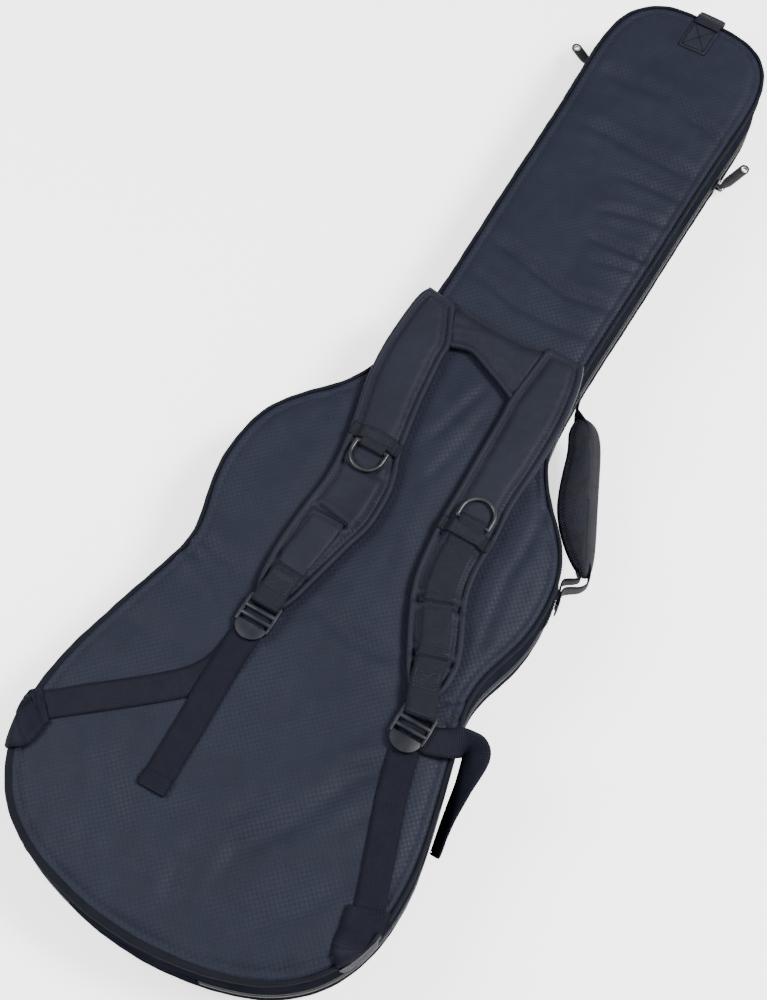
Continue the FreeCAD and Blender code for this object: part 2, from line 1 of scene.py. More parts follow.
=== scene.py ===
# Padded gig bag: the look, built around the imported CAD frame.  Lengths in the
# code are millimetres and become metres when a mesh is made.
import bpy, bmesh, json, math
import numpy as np
from mathutils import Vector, Matrix
from mathutils.geometry import delaunay_2d_cdt
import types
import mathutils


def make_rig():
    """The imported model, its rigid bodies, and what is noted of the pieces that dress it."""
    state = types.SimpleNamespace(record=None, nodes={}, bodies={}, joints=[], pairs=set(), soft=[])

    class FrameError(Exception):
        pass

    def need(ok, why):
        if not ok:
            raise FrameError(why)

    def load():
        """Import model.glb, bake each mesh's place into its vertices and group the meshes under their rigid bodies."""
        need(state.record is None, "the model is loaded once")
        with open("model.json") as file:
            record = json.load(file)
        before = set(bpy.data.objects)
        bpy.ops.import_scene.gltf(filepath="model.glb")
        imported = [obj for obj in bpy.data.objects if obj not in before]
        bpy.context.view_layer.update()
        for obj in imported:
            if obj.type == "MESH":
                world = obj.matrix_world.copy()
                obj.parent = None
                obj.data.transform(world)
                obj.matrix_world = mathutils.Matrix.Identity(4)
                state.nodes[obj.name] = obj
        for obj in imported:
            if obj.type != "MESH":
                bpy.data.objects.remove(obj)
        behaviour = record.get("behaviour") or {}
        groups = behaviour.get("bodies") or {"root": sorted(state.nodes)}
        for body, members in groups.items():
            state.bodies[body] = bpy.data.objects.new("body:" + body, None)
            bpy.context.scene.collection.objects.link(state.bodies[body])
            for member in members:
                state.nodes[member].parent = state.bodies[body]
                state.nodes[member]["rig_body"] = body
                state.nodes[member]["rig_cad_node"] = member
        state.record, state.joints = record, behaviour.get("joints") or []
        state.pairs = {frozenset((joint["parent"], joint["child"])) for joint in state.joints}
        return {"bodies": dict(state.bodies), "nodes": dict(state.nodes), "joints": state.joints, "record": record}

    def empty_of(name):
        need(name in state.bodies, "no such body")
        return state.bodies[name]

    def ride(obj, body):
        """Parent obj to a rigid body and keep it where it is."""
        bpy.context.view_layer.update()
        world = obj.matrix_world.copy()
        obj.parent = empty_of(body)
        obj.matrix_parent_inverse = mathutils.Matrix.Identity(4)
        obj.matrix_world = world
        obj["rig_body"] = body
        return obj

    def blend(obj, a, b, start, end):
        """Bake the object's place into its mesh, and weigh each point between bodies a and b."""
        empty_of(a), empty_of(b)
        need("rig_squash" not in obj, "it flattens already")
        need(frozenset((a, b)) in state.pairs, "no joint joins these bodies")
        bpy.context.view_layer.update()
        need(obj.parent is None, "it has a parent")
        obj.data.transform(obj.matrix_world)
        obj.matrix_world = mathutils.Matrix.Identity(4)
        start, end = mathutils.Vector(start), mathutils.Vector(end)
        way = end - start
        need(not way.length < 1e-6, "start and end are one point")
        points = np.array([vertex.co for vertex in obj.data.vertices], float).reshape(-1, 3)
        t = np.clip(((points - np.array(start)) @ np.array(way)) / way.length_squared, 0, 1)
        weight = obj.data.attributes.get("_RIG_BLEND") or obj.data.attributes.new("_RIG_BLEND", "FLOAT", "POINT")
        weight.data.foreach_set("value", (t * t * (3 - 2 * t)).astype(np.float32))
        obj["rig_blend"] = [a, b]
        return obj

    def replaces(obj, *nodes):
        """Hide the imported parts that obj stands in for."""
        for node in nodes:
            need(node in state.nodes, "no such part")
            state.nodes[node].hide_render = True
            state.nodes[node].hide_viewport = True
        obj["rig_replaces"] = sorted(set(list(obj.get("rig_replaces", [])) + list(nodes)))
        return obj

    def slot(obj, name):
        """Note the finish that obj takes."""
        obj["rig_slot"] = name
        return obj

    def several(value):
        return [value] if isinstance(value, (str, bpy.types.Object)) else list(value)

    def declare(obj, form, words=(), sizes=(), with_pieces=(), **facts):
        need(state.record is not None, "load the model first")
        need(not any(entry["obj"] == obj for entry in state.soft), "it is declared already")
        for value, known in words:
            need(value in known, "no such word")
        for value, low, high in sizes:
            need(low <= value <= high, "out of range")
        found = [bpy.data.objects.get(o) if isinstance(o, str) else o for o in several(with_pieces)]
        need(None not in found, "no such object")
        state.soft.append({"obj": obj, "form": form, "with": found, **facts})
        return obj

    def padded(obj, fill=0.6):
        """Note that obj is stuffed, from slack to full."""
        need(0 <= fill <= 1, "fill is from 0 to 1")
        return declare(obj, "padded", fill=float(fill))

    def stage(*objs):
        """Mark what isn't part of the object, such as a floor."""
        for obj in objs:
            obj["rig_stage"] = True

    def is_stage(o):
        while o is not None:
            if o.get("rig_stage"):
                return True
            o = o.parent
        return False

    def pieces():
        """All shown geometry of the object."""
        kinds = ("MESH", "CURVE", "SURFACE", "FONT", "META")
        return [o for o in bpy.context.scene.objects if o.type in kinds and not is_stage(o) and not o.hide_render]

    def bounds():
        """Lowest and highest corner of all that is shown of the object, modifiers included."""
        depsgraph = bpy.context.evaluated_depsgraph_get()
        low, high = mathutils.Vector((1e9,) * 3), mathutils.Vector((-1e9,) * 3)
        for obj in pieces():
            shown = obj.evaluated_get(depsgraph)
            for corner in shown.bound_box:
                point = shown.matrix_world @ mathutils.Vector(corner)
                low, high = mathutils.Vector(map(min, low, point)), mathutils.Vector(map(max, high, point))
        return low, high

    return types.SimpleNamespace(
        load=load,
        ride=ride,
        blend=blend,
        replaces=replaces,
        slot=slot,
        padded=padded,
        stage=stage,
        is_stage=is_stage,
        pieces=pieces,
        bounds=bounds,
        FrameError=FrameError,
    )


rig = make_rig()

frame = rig.load()
cad_box = [list(v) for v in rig.bounds()]
NODES = frame["nodes"]
rng = np.random.RandomState(7)

# ---------------------------------------------------------------- camera, stage
cam_data = bpy.data.cameras.new("camera")
cam_data.sensor_width = 36.0
cam_data.lens = 63.0
cam_data.clip_end = 50
cam = bpy.data.objects.new("camera", cam_data)
bpy.context.scene.collection.objects.link(cam)
R = Matrix(((0.86209, -0.46984, 0.18987), (0.50619, 0.78077, -0.36629), (0.02385, 0.41189, 0.91092)))
M4 = R.to_4x4()
M4.translation = Vector((0.27267, -0.64848, 1.44877))
cam.matrix_world = M4
bpy.context.scene.camera = cam


def area(name, loc, target, size, power, color=(1, 1, 1)):
    d = bpy.data.lights.new(name, "AREA")
    d.shape = "RECTANGLE"
    d.size, d.size_y = size
    d.energy = power
    d.color = color
    o = bpy.data.objects.new(name, d)
    bpy.context.scene.collection.objects.link(o)
    o.location = loc
    o.rotation_euler = (Vector(target) - Vector(loc)).to_track_quat("-Z", "Y").to_euler()
    return o


area("key", (1.90, 0.95, 2.9), (0, -0.10, 0.05), (1.1, 1.1), 250, (1.0, 0.99, 0.97))
area("fill", (-1.25, -0.60, 1.45), (-0.10, -0.15, 0.05), (0.9, 0.9), 44, (1.0, 0.99, 0.97))
area("low", (1.6, -1.4, 1.6), (0.05, -0.1, 0.05), (1.4, 1.4), 14, (0.95, 0.97, 1.0))
area("top", (0.7, -0.9, 3.0), (0, 0, 0), (2.2, 2.2), 26)
world = bpy.data.worlds.new("world")
world.use_nodes = True
world.node_tree.nodes["Background"].inputs[0].default_value = (0.93, 0.95, 1.0, 1)
world.node_tree.nodes["Background"].inputs[1].default_value = 0.42
bpy.context.scene.world = world

me = bpy.data.meshes.new("floor")
s = 9.0
me.from_pydata([(-s, -s, -0.0004), (s, -s, -0.0004), (s, s, -0.0004), (-s, s, -0.0004)], [], [(0, 1, 2, 3)])
floor = bpy.data.objects.new("floor", me)
bpy.context.scene.collection.objects.link(floor)
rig.stage(floor)
mf = bpy.data.materials.new("floor_white")
mf.use_nodes = True
pf = mf.node_tree.nodes["Principled BSDF"]
pf.inputs["Base Color"].default_value = (0.97, 0.97, 0.97, 1)
pf.inputs["Roughness"].default_value = 0.8
pf.inputs["Emission Color"].default_value = (1, 1, 1, 1)
pf.inputs["Emission Strength"].default_value = 1.5
floor.data.materials.append(mf)


# ------------------------------------------------------------------- materials
def new_mat(name, color, rough, metallic=0.0, sheen=0.0, spec=0.5, coat=0.0):
    m = bpy.data.materials.new(name)
    m.use_nodes = True
    nt = m.node_tree
    p = nt.nodes["Principled BSDF"]
    p.inputs["Base Color"].default_value = (*color, 1)
    p.inputs["Roughness"].default_value = rough
    p.inputs["Metallic"].default_value = metallic
    p.inputs["Sheen Weight"].default_value = sheen
    p.inputs["Sheen Roughness"].default_value = 0.45
    p.inputs["Specular IOR Level"].default_value = spec
    p.inputs["Coat Weight"].default_value = coat
    return m, nt, p


def math_node(nt, op, a, b=None, c=None):
    n = nt.nodes.new("ShaderNodeMath")
    n.operation = op
    for i, v in enumerate((a, b, c)):
        if v is None:
            continue
        if isinstance(v, (int, float)):
            n.inputs[i].default_value = v
        else:
            nt.links.new(v, n.inputs[i])
    return n.outputs[0]


def uv_xy(nt):
    uv = nt.nodes.new("ShaderNodeUVMap")
    uv.uv_map = "mm"
    sep = nt.nodes.new("ShaderNodeSeparateXYZ")
    nt.links.new(uv.outputs[0], sep.inputs[0])
    return uv.outputs[0], sep.outputs[0], sep.outputs[1]


def noise_tex(nt, vec, scale, detail=3.0, rough=0.55):
    n = nt.nodes.new("ShaderNodeTexNoise")
    n.inputs["Scale"].default_value = scale
    n.inputs["Detail"].default_value = detail
    n.inputs["Roughness"].default_value = rough
    nt.links.new(vec, n.inputs["Vector"])
    return n.outputs[0]


def ramp(nt, fac, stops):
    r = nt.nodes.new("ShaderNodeValToRGB")
    els = r.color_ramp.elements
    while len(els) < len(stops):
        els.new(0.5)
    for e, (pos, col) in zip(els, stops):
        e.position = pos
        e.color = (*col, 1) if len(col) == 3 else col
    nt.links.new(fac, r.inputs[0])
    return r.outputs[0]


def mix_col(nt, fac, a, b):
    n = nt.nodes.new("ShaderNodeMix")
    n.data_type = "RGBA"
    nt.links.new(fac, n.inputs[0])
    for sock, v in ((n.inputs[6], a), (n.inputs[7], b)):
        if isinstance(v, tuple):
            sock.default_value = (*v, 1)
        else:
            nt.links.new(v, sock)
    return n.outputs[2]


def bump(nt, p, height, strength, dist):
    b = nt.nodes.new("ShaderNodeBump")
    b.inputs["Strength"].default_value = strength
    b.inputs["Distance"].default_value = dist
    nt.links.new(height, b.inputs["Height"])
    nt.links.new(b.outputs[0], p.inputs["Normal"])
    return b


def tri(nt, x, pitch):
    """Triangle wave 0..1 of that pitch in the unit of x (millimetres)."""
    return math_node(nt, "MULTIPLY", math_node(nt, "PINGPONG", x, pitch / 2.0), 2.0 / pitch)


def toned(c, k):
    return tuple(v * k for v in c)


def shell_mat(name, dark, light, cell=5.3, emboss=1.0):
    """Nylon with an embossed check: raised cells in a brick-like check, fine weave in them; the raised cells are also
    painted lighter than the hollows, a painted sheen.
    """
    dark, light = toned(dark, 0.5), toned(light, 0.5)
    m, nt, p = new_mat(name, dark, 0.58, sheen=0.0, spec=0.07)
    vec, x, y = uv_xy(nt)
    sx = math_node(nt, "SINE", math_node(nt, "MULTIPLY", x, 2 * math.pi / cell))
    sy = math_node(nt, "SINE", math_node(nt, "MULTIPLY", y, 2 * math.pi / cell))
    check = math_node(nt, "MULTIPLY", sx, sy)
    soft = nt.nodes.new("ShaderNodeMapRange")
    soft.interpolation_type = "SMOOTHSTEP"
    soft.inputs["From Min"].default_value = -0.35
    soft.inputs["From Max"].default_value = 0.35
    nt.links.new(check, soft.inputs["Value"])
    wx = tri(nt, x, 0.9)
    wy = tri(nt, y, 0.9)
    weave = math_node(nt, "MAXIMUM", wx, wy)
    big = noise_tex(nt, vec, 0.012, 4.0)
    mid = noise_tex(nt, vec, 0.07, 4.0)
    dust = noise_tex(nt, vec, 0.9, 2.0)
    fade = nt.nodes.new("ShaderNodeMapRange")
    fade.interpolation_type = "SMOOTHSTEP"
    fade.inputs["From Min"].default_value = 0.38
    fade.inputs["From Max"].default_value = 0.62
    fade.inputs["To Min"].default_value = 0.05
    fade.inputs["To Max"].default_value = 0.20
    nt.links.new(noise_tex(nt, vec, 0.02, 3.0), fade.inputs["Value"])
    # painted sheen: the raised cells of the check (soft) push the colour towards the light end; big and mid add random
    # tone of the cloth
    tone = math_node(nt, "ADD", math_node(nt, "MULTIPLY", soft.outputs[0], fade.outputs[0]),
                     math_node(nt, "ADD", math_node(nt, "MULTIPLY", big, 0.25), math_node(nt, "MULTIPLY", mid, 0.2)))
    col = ramp(nt, tone, [(0.0, dark), (0.62, light)])
    nt.links.new(col, p.inputs["Base Color"])
    rr = math_node(nt, "ADD", math_node(nt, "MULTIPLY", soft.outputs[0], -0.10), math_node(nt, "ADD", math_node(nt, "MULTIPLY", dust, 0.12), 0.52))
    nt.links.new(rr, p.inputs["Roughness"])
    h = math_node(nt, "ADD", math_node(nt, "MULTIPLY", soft.outputs[0], 0.75 * emboss),
                  math_node(nt, "ADD", math_node(nt, "MULTIPLY", weave, 0.12), math_node(nt, "MULTIPLY", mid, 0.5)))
    bump(nt, p, h, 0.5, 0.0005)
    return m


def plain_mat(name, dark, light, rough=0.5, weave=0.6, strength=0.5, sheen=0.2, wr=0.3, spec=0.09):
    """Plain woven nylon: fine over-and-under weave and soft creasing."""
    dark, light = toned(dark, 0.5), toned(light, 0.5)
    m, nt, p = new_mat(name, dark, rough, sheen=sheen * 0.06, spec=spec)
    vec, x, y = uv_xy(nt)
    wx = tri(nt, x, weave)
    wy = tri(nt, y, weave)
    w = math_node(nt, "MULTIPLY", wx, wy)
    n1 = noise_tex(nt, vec, 0.03, 5.0)
    n2 = noise_tex(nt, vec, 0.18, 4.0)
    # partly painted highlight: the weave crossings (w) are painted lighter; n1 is random tone of the cloth
    tone = math_node(nt, "ADD", math_node(nt, "MULTIPLY", n1, 0.7), math_node(nt, "MULTIPLY", w, 0.25))
    nt.links.new(ramp(nt, tone, [(0.25, dark), (0.8, light)]), p.inputs["Base Color"])
    h = math_node(nt, "ADD", math_node(nt, "MULTIPLY", w, 0.35), math_node(nt, "MULTIPLY", n2, wr))
    bump(nt, p, h, strength, 0.0006)
    return m


def web_mat(name, dark, light, rib=1.55, strength=0.8, rough=0.62):
    """Ribbed flat webbing: cross ribs along the length (v), fine yarns across (u)."""
    dark, light = toned(dark, 0.62), toned(light, 0.62)
    m, nt, p = new_mat(name, dark, rough, sheen=0.0, spec=0.09)
    vec, x, y = uv_xy(nt)
    r = tri(nt, y, rib)
    yarn = tri(nt, x, 0.8)
    off = math_node(nt, "MULTIPLY", math_node(nt, "SINE", math_node(nt, "MULTIPLY", x, 2 * math.pi / 1.6)), 0.16)
    r2 = tri(nt, math_node(nt, "ADD", y, off), rib)
    n1 = noise_tex(nt, vec, 0.08, 4.0)
    h = math_node(nt, "ADD", math_node(nt, "MULTIPLY", r2, 0.8), math_node(nt, "MULTIPLY", yarn, 0.2))
    # painted highlight: the rib and yarn tops (h) are painted lighter than their hollows; n1 adds random tone
    tone = math_node(nt, "ADD", math_node(nt, "MULTIPLY", h, 0.55), math_node(nt, "MULTIPLY", n1, 0.45))
    nt.links.new(ramp(nt, tone, [(0.2, dark), (0.85, light)]), p.inputs["Base Color"])
    bump(nt, p, h, strength, 0.0005)
    return m


def grip_mat(name, dark, light):
    """Coarse ballistic nylon: basket weave of thick yarns."""
    dark, light = toned(dark, 0.55), toned(light, 0.55)
    m, nt, p = new_mat(name, dark, 0.5, sheen=0.0, spec=0.16)
    vec, x, y = uv_xy(nt)
    sx = math_node(nt, "SINE", math_node(nt, "MULTIPLY", x, 2 * math.pi / 2.6))
    sy = math_node(nt, "SINE", math_node(nt, "MULTIPLY", y, 2 * math.pi / 2.6))
    c = math_node(nt, "MULTIPLY", sx, sy)
    yarn = math_node(nt, "MULTIPLY", tri(nt, x, 1.3), tri(nt, y, 1.3))
    h = math_node(nt, "ADD", math_node(nt, "MULTIPLY", c, 0.5), math_node(nt, "MULTIPLY", yarn, 0.5))
    n1 = noise_tex(nt, vec, 0.1, 3.0)
    # painted highlight: the raised yarns of the weave (h) are painted lighter than the hollows; n1 adds random tone
    tone = math_node(nt, "ADD", math_node(nt, "MULTIPLY", h, 0.5), math_node(nt, "MULTIPLY", n1, 0.5))
    nt.links.new(ramp(nt, tone, [(0.15, dark), (0.75, light)]), p.inputs["Base Color"])
    bump(nt, p, h, 0.9, 0.0007)
    return m


def hard_mat(name, dark, light, rough, metallic=0.0, grain=0.5, spec=0.5):
    """Moulded or plated part: fine grain, handling marks in its gloss."""
    m, nt, p = new_mat(name, dark, rough, metallic=metallic, spec=spec)
    geo = nt.nodes.new("ShaderNodeTexCoord")
    n1 = nt.nodes.new("ShaderNodeTexNoise")
    n1.inputs["Scale"].default_value = 900
    n1.inputs["Detail"].default_value = 3
    nt.links.new(geo.outputs["Object"], n1.inputs["Vector"])
    n2 = nt.nodes.new("ShaderNodeTexNoise")
    n2.inputs["Scale"].default_value = 90
    n2.inputs["Detail"].default_value = 4
    nt.links.new(geo.outputs["Object"], n2.inputs["Vector"])
    nt.links.new(ramp(nt, n2.outputs[0], [(0.3, dark), (0.75, light)]), p.inputs["Base Color"])
    nt.links.new(math_node(nt, "ADD", math_node(nt, "MULTIPLY", n2.outputs[0], 0.22), rough - 0.11), p.inputs["Roughness"])
    bump(nt, p, n1.outputs[0], grain, 0.00008)
    return m


NAVY_D, NAVY_L = (0.0148, 0.0168, 0.0290), (0.0325, 0.0370, 0.0605)
MAT = {
    "shell": shell_mat("shell_fabric", NAVY_D, NAVY_L),
    "strap": shell_mat("strap_fabric", (0.0155, 0.0170, 0.0265), (0.0305, 0.0335, 0.0510), cell=3.4, emboss=0.5),
    "side": plain_mat("side_nylon", (0.0110, 0.0122, 0.0190), (0.0255, 0.0280, 0.0400), rough=0.85, weave=0.7, sheen=0.0, wr=0.7, spec=0.0),
    "binding": web_mat("binding_tape", (0.0052, 0.0058, 0.0100), (0.0135, 0.0148, 0.0235), rib=0.9, strength=0.5, rough=0.8),
    "web": web_mat("webbing", (0.0085, 0.0092, 0.0142), (0.0215, 0.0232, 0.0345)),
    "weblow": web_mat("webbing_dark", (0.0048, 0.0053, 0.0105), (0.0126, 0.0137, 0.0265)),
    "patch": web_mat("patch_webbing", (0.0120, 0.0136, 0.0215), (0.0270, 0.0305, 0.0465)),
    "grip": grip_mat("grip_fabric", (0.0086, 0.0092, 0.0162), (0.033, 0.035, 0.056)),
    "lining": plain_mat("lining", (0.030, 0.031, 0.036), (0.055, 0.056, 0.064), rough=0.8, weave=1.1, strength=0.4, sheen=0.5),
    "tape": web_mat("zip_tape", (0.010, 0.011, 0.016), (0.021, 0.023, 0.031), rib=0.7, strength=0.4),
    "coil": hard_mat("zip_coil", (0.012, 0.012, 0.014), (0.03, 0.03, 0.034), 0.38, grain=0.2),
    "metal": hard_mat("black_metal", (0.014, 0.0145, 0.017), (0.034, 0.035, 0.040), 0.33, metallic=0.35, grain=0.25, spec=0.4),
    "plastic": hard_mat("black_plastic", (0.0058, 0.0062, 0.0098), (0.0140, 0.0150, 0.0225), 0.36, grain=0.5, spec=0.26),
    "pull": hard_mat("pull_rubber", (0.010, 0.0102, 0.012), (0.024, 0.0245, 0.028), 0.55, grain=0.5, spec=0.25),
    "steel": hard_mat("pull_metal", (0.60, 0.60, 0.61), (0.80, 0.80, 0.81), 0.30, metallic=1.0, grain=0.2),
    "thread": plain_mat("thread", (0.015, 0.017, 0.026), (0.034, 0.037, 0.052), rough=0.6, weave=0.4, strength=0.3),
    "thread_x": plain_mat("thread_light", (0.030, 0.032, 0.044), (0.070, 0.074, 0.094), rough=0.6, weave=0.4, strength=0.3),
    # painted highlight: the grip's edge band is coloured lighter than the grip to stand in for its lit face
    "gripband": web_mat("grip_edge", (0.022, 0.0225, 0.027), (0.052, 0.053, 0.062), rib=1.1, strength=0.5),
    "fold": plain_mat("dark_fold", (0.004, 0.004, 0.006), (0.009, 0.009, 0.012), rough=0.8, weave=0.8),
}


# --------------------------------------------------------------- mesh helpers
def make(name, verts, faces, body, mat, uvs=None, smooth=True, replaces=(), mats=None, face_mat=None):
    """Object from millimetre vertices; uvs per vertex in millimetres (default x, y)."""
    verts = np.asarray(verts, float)
    me = bpy.data.meshes.new(name)
    me.from_pydata((verts / 1000.0).tolist(), [], [tuple(int(i) for i in f) for f in faces])
    me.validate()
    if uvs is None:
        uvs = verts[:, :2]
    uvs = np.asarray(uvs, float)
    lay = me.uv_layers.new(name="mm")
    idx = np.zeros(len(me.loops), dtype=np.int64)
    me.loops.foreach_get("vertex_index", idx)
    lay.data.foreach_set("uv", uvs[idx].astype(np.float32).ravel())
    for k in ([mat] if mats is None else mats):
        me.materials.append(MAT[k])
    if face_mat is not None and len(face_mat) == len(me.polygons):
        me.polygons.foreach_set("material_index", np.asarray(face_mat, dtype=np.int32))
    if smooth:
        me.polygons.foreach_set("use_smooth", np.ones(len(me.polygons), dtype=bool))
    ob = bpy.data.objects.new(name, me)
    bpy.context.scene.collection.objects.link(ob)
    bm = bmesh.new()
    bm.from_mesh(me)
    bmesh.ops.recalc_face_normals(bm, faces=bm.faces)
    bm.to_mesh(me)
    bm.free()
    if body:
        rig.ride(ob, body)
    if replaces:
        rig.replaces(ob, *replaces)
    return ob


def grid_faces(n, m, close_n=False, close_m=False):
    f = []
    for i in range(n if close_n else n - 1):
        for j in range(m if close_m else m - 1):
            a = i * m + j
            b = i * m + (j + 1) % m
            c = ((i + 1) % n) * m + (j + 1) % m
            d = ((i + 1) % n) * m + j
            f.append((a, b, c, d))
    return f


def sstep(t):
    t = np.clip(t, 0, 1)
    return t * t * (3 - 2 * t)


def catmull(pts, n):
    """n points along a smooth curve through pts, evenly spaced."""
    p = np.asarray(pts, float)
    q = np.vstack([2 * p[0] - p[1], p, 2 * p[-1] - p[-2]])
    out = []
    for i in range(len(p) - 1):
        a, b, c, d = q[i], q[i + 1], q[i + 2], q[i + 3]
        for t in np.linspace(0, 1, 24, endpoint=False):
            out.append(0.5 * ((2 * b) + (-a + c) * t + (2 * a - 5 * b + 4 * c - d) * t * t + (-a + 3 * b - 3 * c + d) * t ** 3))
    out.append(p[-1])
    return resample(np.array(out), n)


def resample(p, n):
    s = np.r_[0, np.cumsum(np.linalg.norm(np.diff(p, axis=0), axis=1))]
    t = np.linspace(0, s[-1], n)
    return np.c_[tuple(np.interp(t, s, p[:, k]) for k in range(p.shape[1]))]


def fbm(x, y, scale, seed=0, octaves=3):
    """Smooth pseudo-noise from summed sines, about -1..1, vectorised and repeatable."""
    r = np.random.RandomState(seed)
    out = np.zeros_like(x, dtype=float)
    amp, tot = 1.0, 0.0
    for o in range(octaves):
        for k in range(5):
            a = r.uniform(0, 2 * math.pi)
            w = 2 * math.pi / (scale * r.uniform(0.7, 1.4))
            out += amp * np.sin(w * (x * math.cos(a) + y * math.sin(a)) + r.uniform(0, 6.28)) / 2.2
        tot += amp
        amp *= 0.5
        scale *= 0.5
    return out / tot


# ------------------------------------------------------------------- outline
HALF = [(0, 520.6), (24, 520.2), (44, 517), (61, 507.5), (74, 492.5), (81.5, 472),
        (84.2, 446), (83.6, 415), (81.6, 370), (80.6, 320), (80.3, 270), (79.6, 215),
        (78.2, 165), (77.6, 120), (78.4, 80), (81.5, 48), (87.5, 20), (97.5, -3),
        (110, -20), (123.5, -34.5), (137, -50), (147.5, -67), (154, -87),
        (156.6, -110), (156.4, -133), (152.5, -155), (146.5, -174), (141, -192),
        (139.2, -209), (141.2, -226), (146.2, -244), (153, -270), (160, -298),
        (167, -327), (172.4, -355), (174.4, -382), (172.8, -408), (167.6, -432),
        (159, -452), (146.5, -470.5), (130, -486), (110, -498.5), (87, -507.5),
        (60, -514.5), (30, -519.6), (0, -521)]


def outline(n):
    p = np.array(HALF, float)
    P = np.vstack([p, (p[1:-1] * [-1, 1])[::-1]])
    m = len(P)
    out = []
    for u in np.linspace(0, m, 6000, endpoint=False):
        i = int(u)
        t = u - i
        a, b, c, d = P[(i - 1) % m], P[i % m], P[(i + 1) % m], P[(i + 2) % m]
        out.append(((1 - t) ** 3 * a + (3 * t ** 3 - 6 * t * t + 4) * b + (-3 * t ** 3 + 3 * t * t + 3 * t + 1) * c + t ** 3 * d) / 6)
    out = np.array(out)
    q = np.vstack([out, out[:1]])
    r = resample(q, n + 1)[:-1]
    t = np.roll(r, -1, 0) - np.roll(r, 1, 0)
    t /= np.linalg.norm(t, axis=1)[:, None]
    nrm = np.c_[-t[:, 1], t[:, 0]]
    if nrm[0, 1] < 0:
        nrm = -nrm
    return r, nrm


NP = 1300
OP, ON = outline(NP)                 # outer edge, over the binding
WP = OP - ON * 2.2                   # side wall
ARC = np.r_[0, np.cumsum(np.linalg.norm(np.diff(OP, axis=0), axis=1))]


def ring(name, prof, body, mat, mask=None, replaces=(), z_noise=None, off_noise=None, mats=None, prof_mat=None, uvscale=1.0):
    """Closed profile (offset from the wall, height) swept round the outline."""
    prof = np.asarray(prof, float)
    m = len(prof)
    per = np.r_[0, np.cumsum(np.linalg.norm(np.diff(prof, axis=0), axis=1))]
    V, U = [], []
    for i in range(NP):
        off = prof[:, 0] + (off_noise[i] if off_noise is not None else 0)
        z = prof[:, 1] + (z_noise[i] if z_noise is not None else 0)
        V.append(np.c_[WP[i, 0] + ON[i, 0] * off, WP[i, 1] + ON[i, 1] * off, z])
        U.append(np.c_[per, np.full(m, ARC[i])])
    V = np.array(V)
    U = np.array(U)
    closed = mask is None
    if not closed:
        keep = np.where(mask)[0]
        # roll so that the kept run is one stretch
        brk = np.where(np.diff(keep) > 1)[0]
        if len(brk):
            keep = np.r_[keep[brk[0] + 1:], keep[:brk[0] + 1]]
        V = V[keep]
        U = U[keep]
        U[..., 1] = (np.arange(len(keep)) * (ARC[-1] / NP))[:, None]
    n = len(V)
    faces = grid_faces(n, m, close_n=closed, close_m=True)
    fm = None
    if prof_mat is not None:
        fm = [prof_mat[j] for i in range(n if closed else n - 1) for j in range(m)]
    if not closed:
        faces.append(tuple(range(m)))
        faces.append(tuple(range((n - 1) * m, n * m)))
        if fm is not None:
            fm += [0, 0]
    return make(name, V.reshape(-1, 3), faces, body, mat, U.reshape(-1, 2), replaces=replaces, mats=mats, face_mat=fm)


def inside_mesh(inset, step, rows):
    """Triangulated inside of the outline (inset from the wall): rows near the edge, a grid within.
    Returns points, faces, distance from the edge."""
    edge = WP - ON * inset
    pts, loops = [], []
    for r in rows:
        p = (edge - ON * r)[::2]
        loops.append(range(len(pts), len(pts) + len(p)))
        pts += p.tolist()
    last = rows[-1] + step * 0.75
    xs = np.arange(-180, 181, step)
    ys = np.arange(-524, 525, step * 0.866)
    gx, gy = np.meshgrid(xs, ys)
    gx = gx + (np.arange(len(ys)) % 2)[:, None] * step / 2
    g = np.c_[gx.ravel(), gy.ravel()]
    d = signed_dist(g, edge)
    g = g[d > last]
    pts += g.tolist()
    ring0 = list(loops[0])
    vs = [Vector(p) for p in pts]
    edges = [(ring0[i], ring0[(i + 1) % len(ring0)]) for i in range(len(ring0))]
    v2, e2, f2, ov, oe, of = delaunay_2d_cdt(vs, edges, [], 1, 1e-6)
    P = np.array([(v.x, v.y) for v in v2])
    return P, f2, np.maximum(signed_dist(P, edge), 0)


def signed_dist(g, loop):
    a = loop[::2]
    b = np.roll(a, -1, 0)
    ab = b - a
    l2 = (ab ** 2).sum(1)
    out = np.empty(len(g))
    for k in range(0, len(g), 4000):
        q = g[k:k + 4000]
        t = np.clip(((q[:, None] - a[None]) * ab[None]).sum(2) / l2, 0, 1)
        c = a[None] + t[..., None] * ab[None]
        dd = np.sqrt(((q[:, None] - c) ** 2).sum(2)).min(1)
        y0, y1 = a[None, :, 1], b[None, :, 1]
        cond = (y0 > q[:, 1:2]) != (y1 > q[:, 1:2])
        xi = (b[None, :, 0] - a[None, :, 0]) * (q[:, 1:2] - y0) / (y1 - y0 + 1e-12) + a[None, :, 0]
        inside = ((cond & (q[:, 0:1] < xi)).sum(1) % 2) == 1
        out[k:k + 4000] = np.where(inside, dd, -dd)
    return out


# ------------------------------------------------------------- shape functions
def bspline_loop(pts, spacing):
    """Closed smooth loop with those points as poles."""
    P = np.asarray(pts, float)
    m = len(P)
    out = []
    for u in np.linspace(0, m, m * 24, endpoint=False):
        i = int(u)
        t = u - i
        a, b, c, d = P[(i - 1) % m], P[i % m], P[(i + 1) % m], P[(i + 2) % m]
        out.append(((1 - t) ** 3 * a + (3 * t ** 3 - 6 * t * t + 4) * b + (-3 * t ** 3 + 3 * t * t + 3 * t + 1) * c + t ** 3 * d) / 6)
    out = np.array(out + [out[0]])
    n = int(np.linalg.norm(np.diff(out, axis=0), axis=1).sum() / spacing)
    return resample(out, n + 1)[:-1]


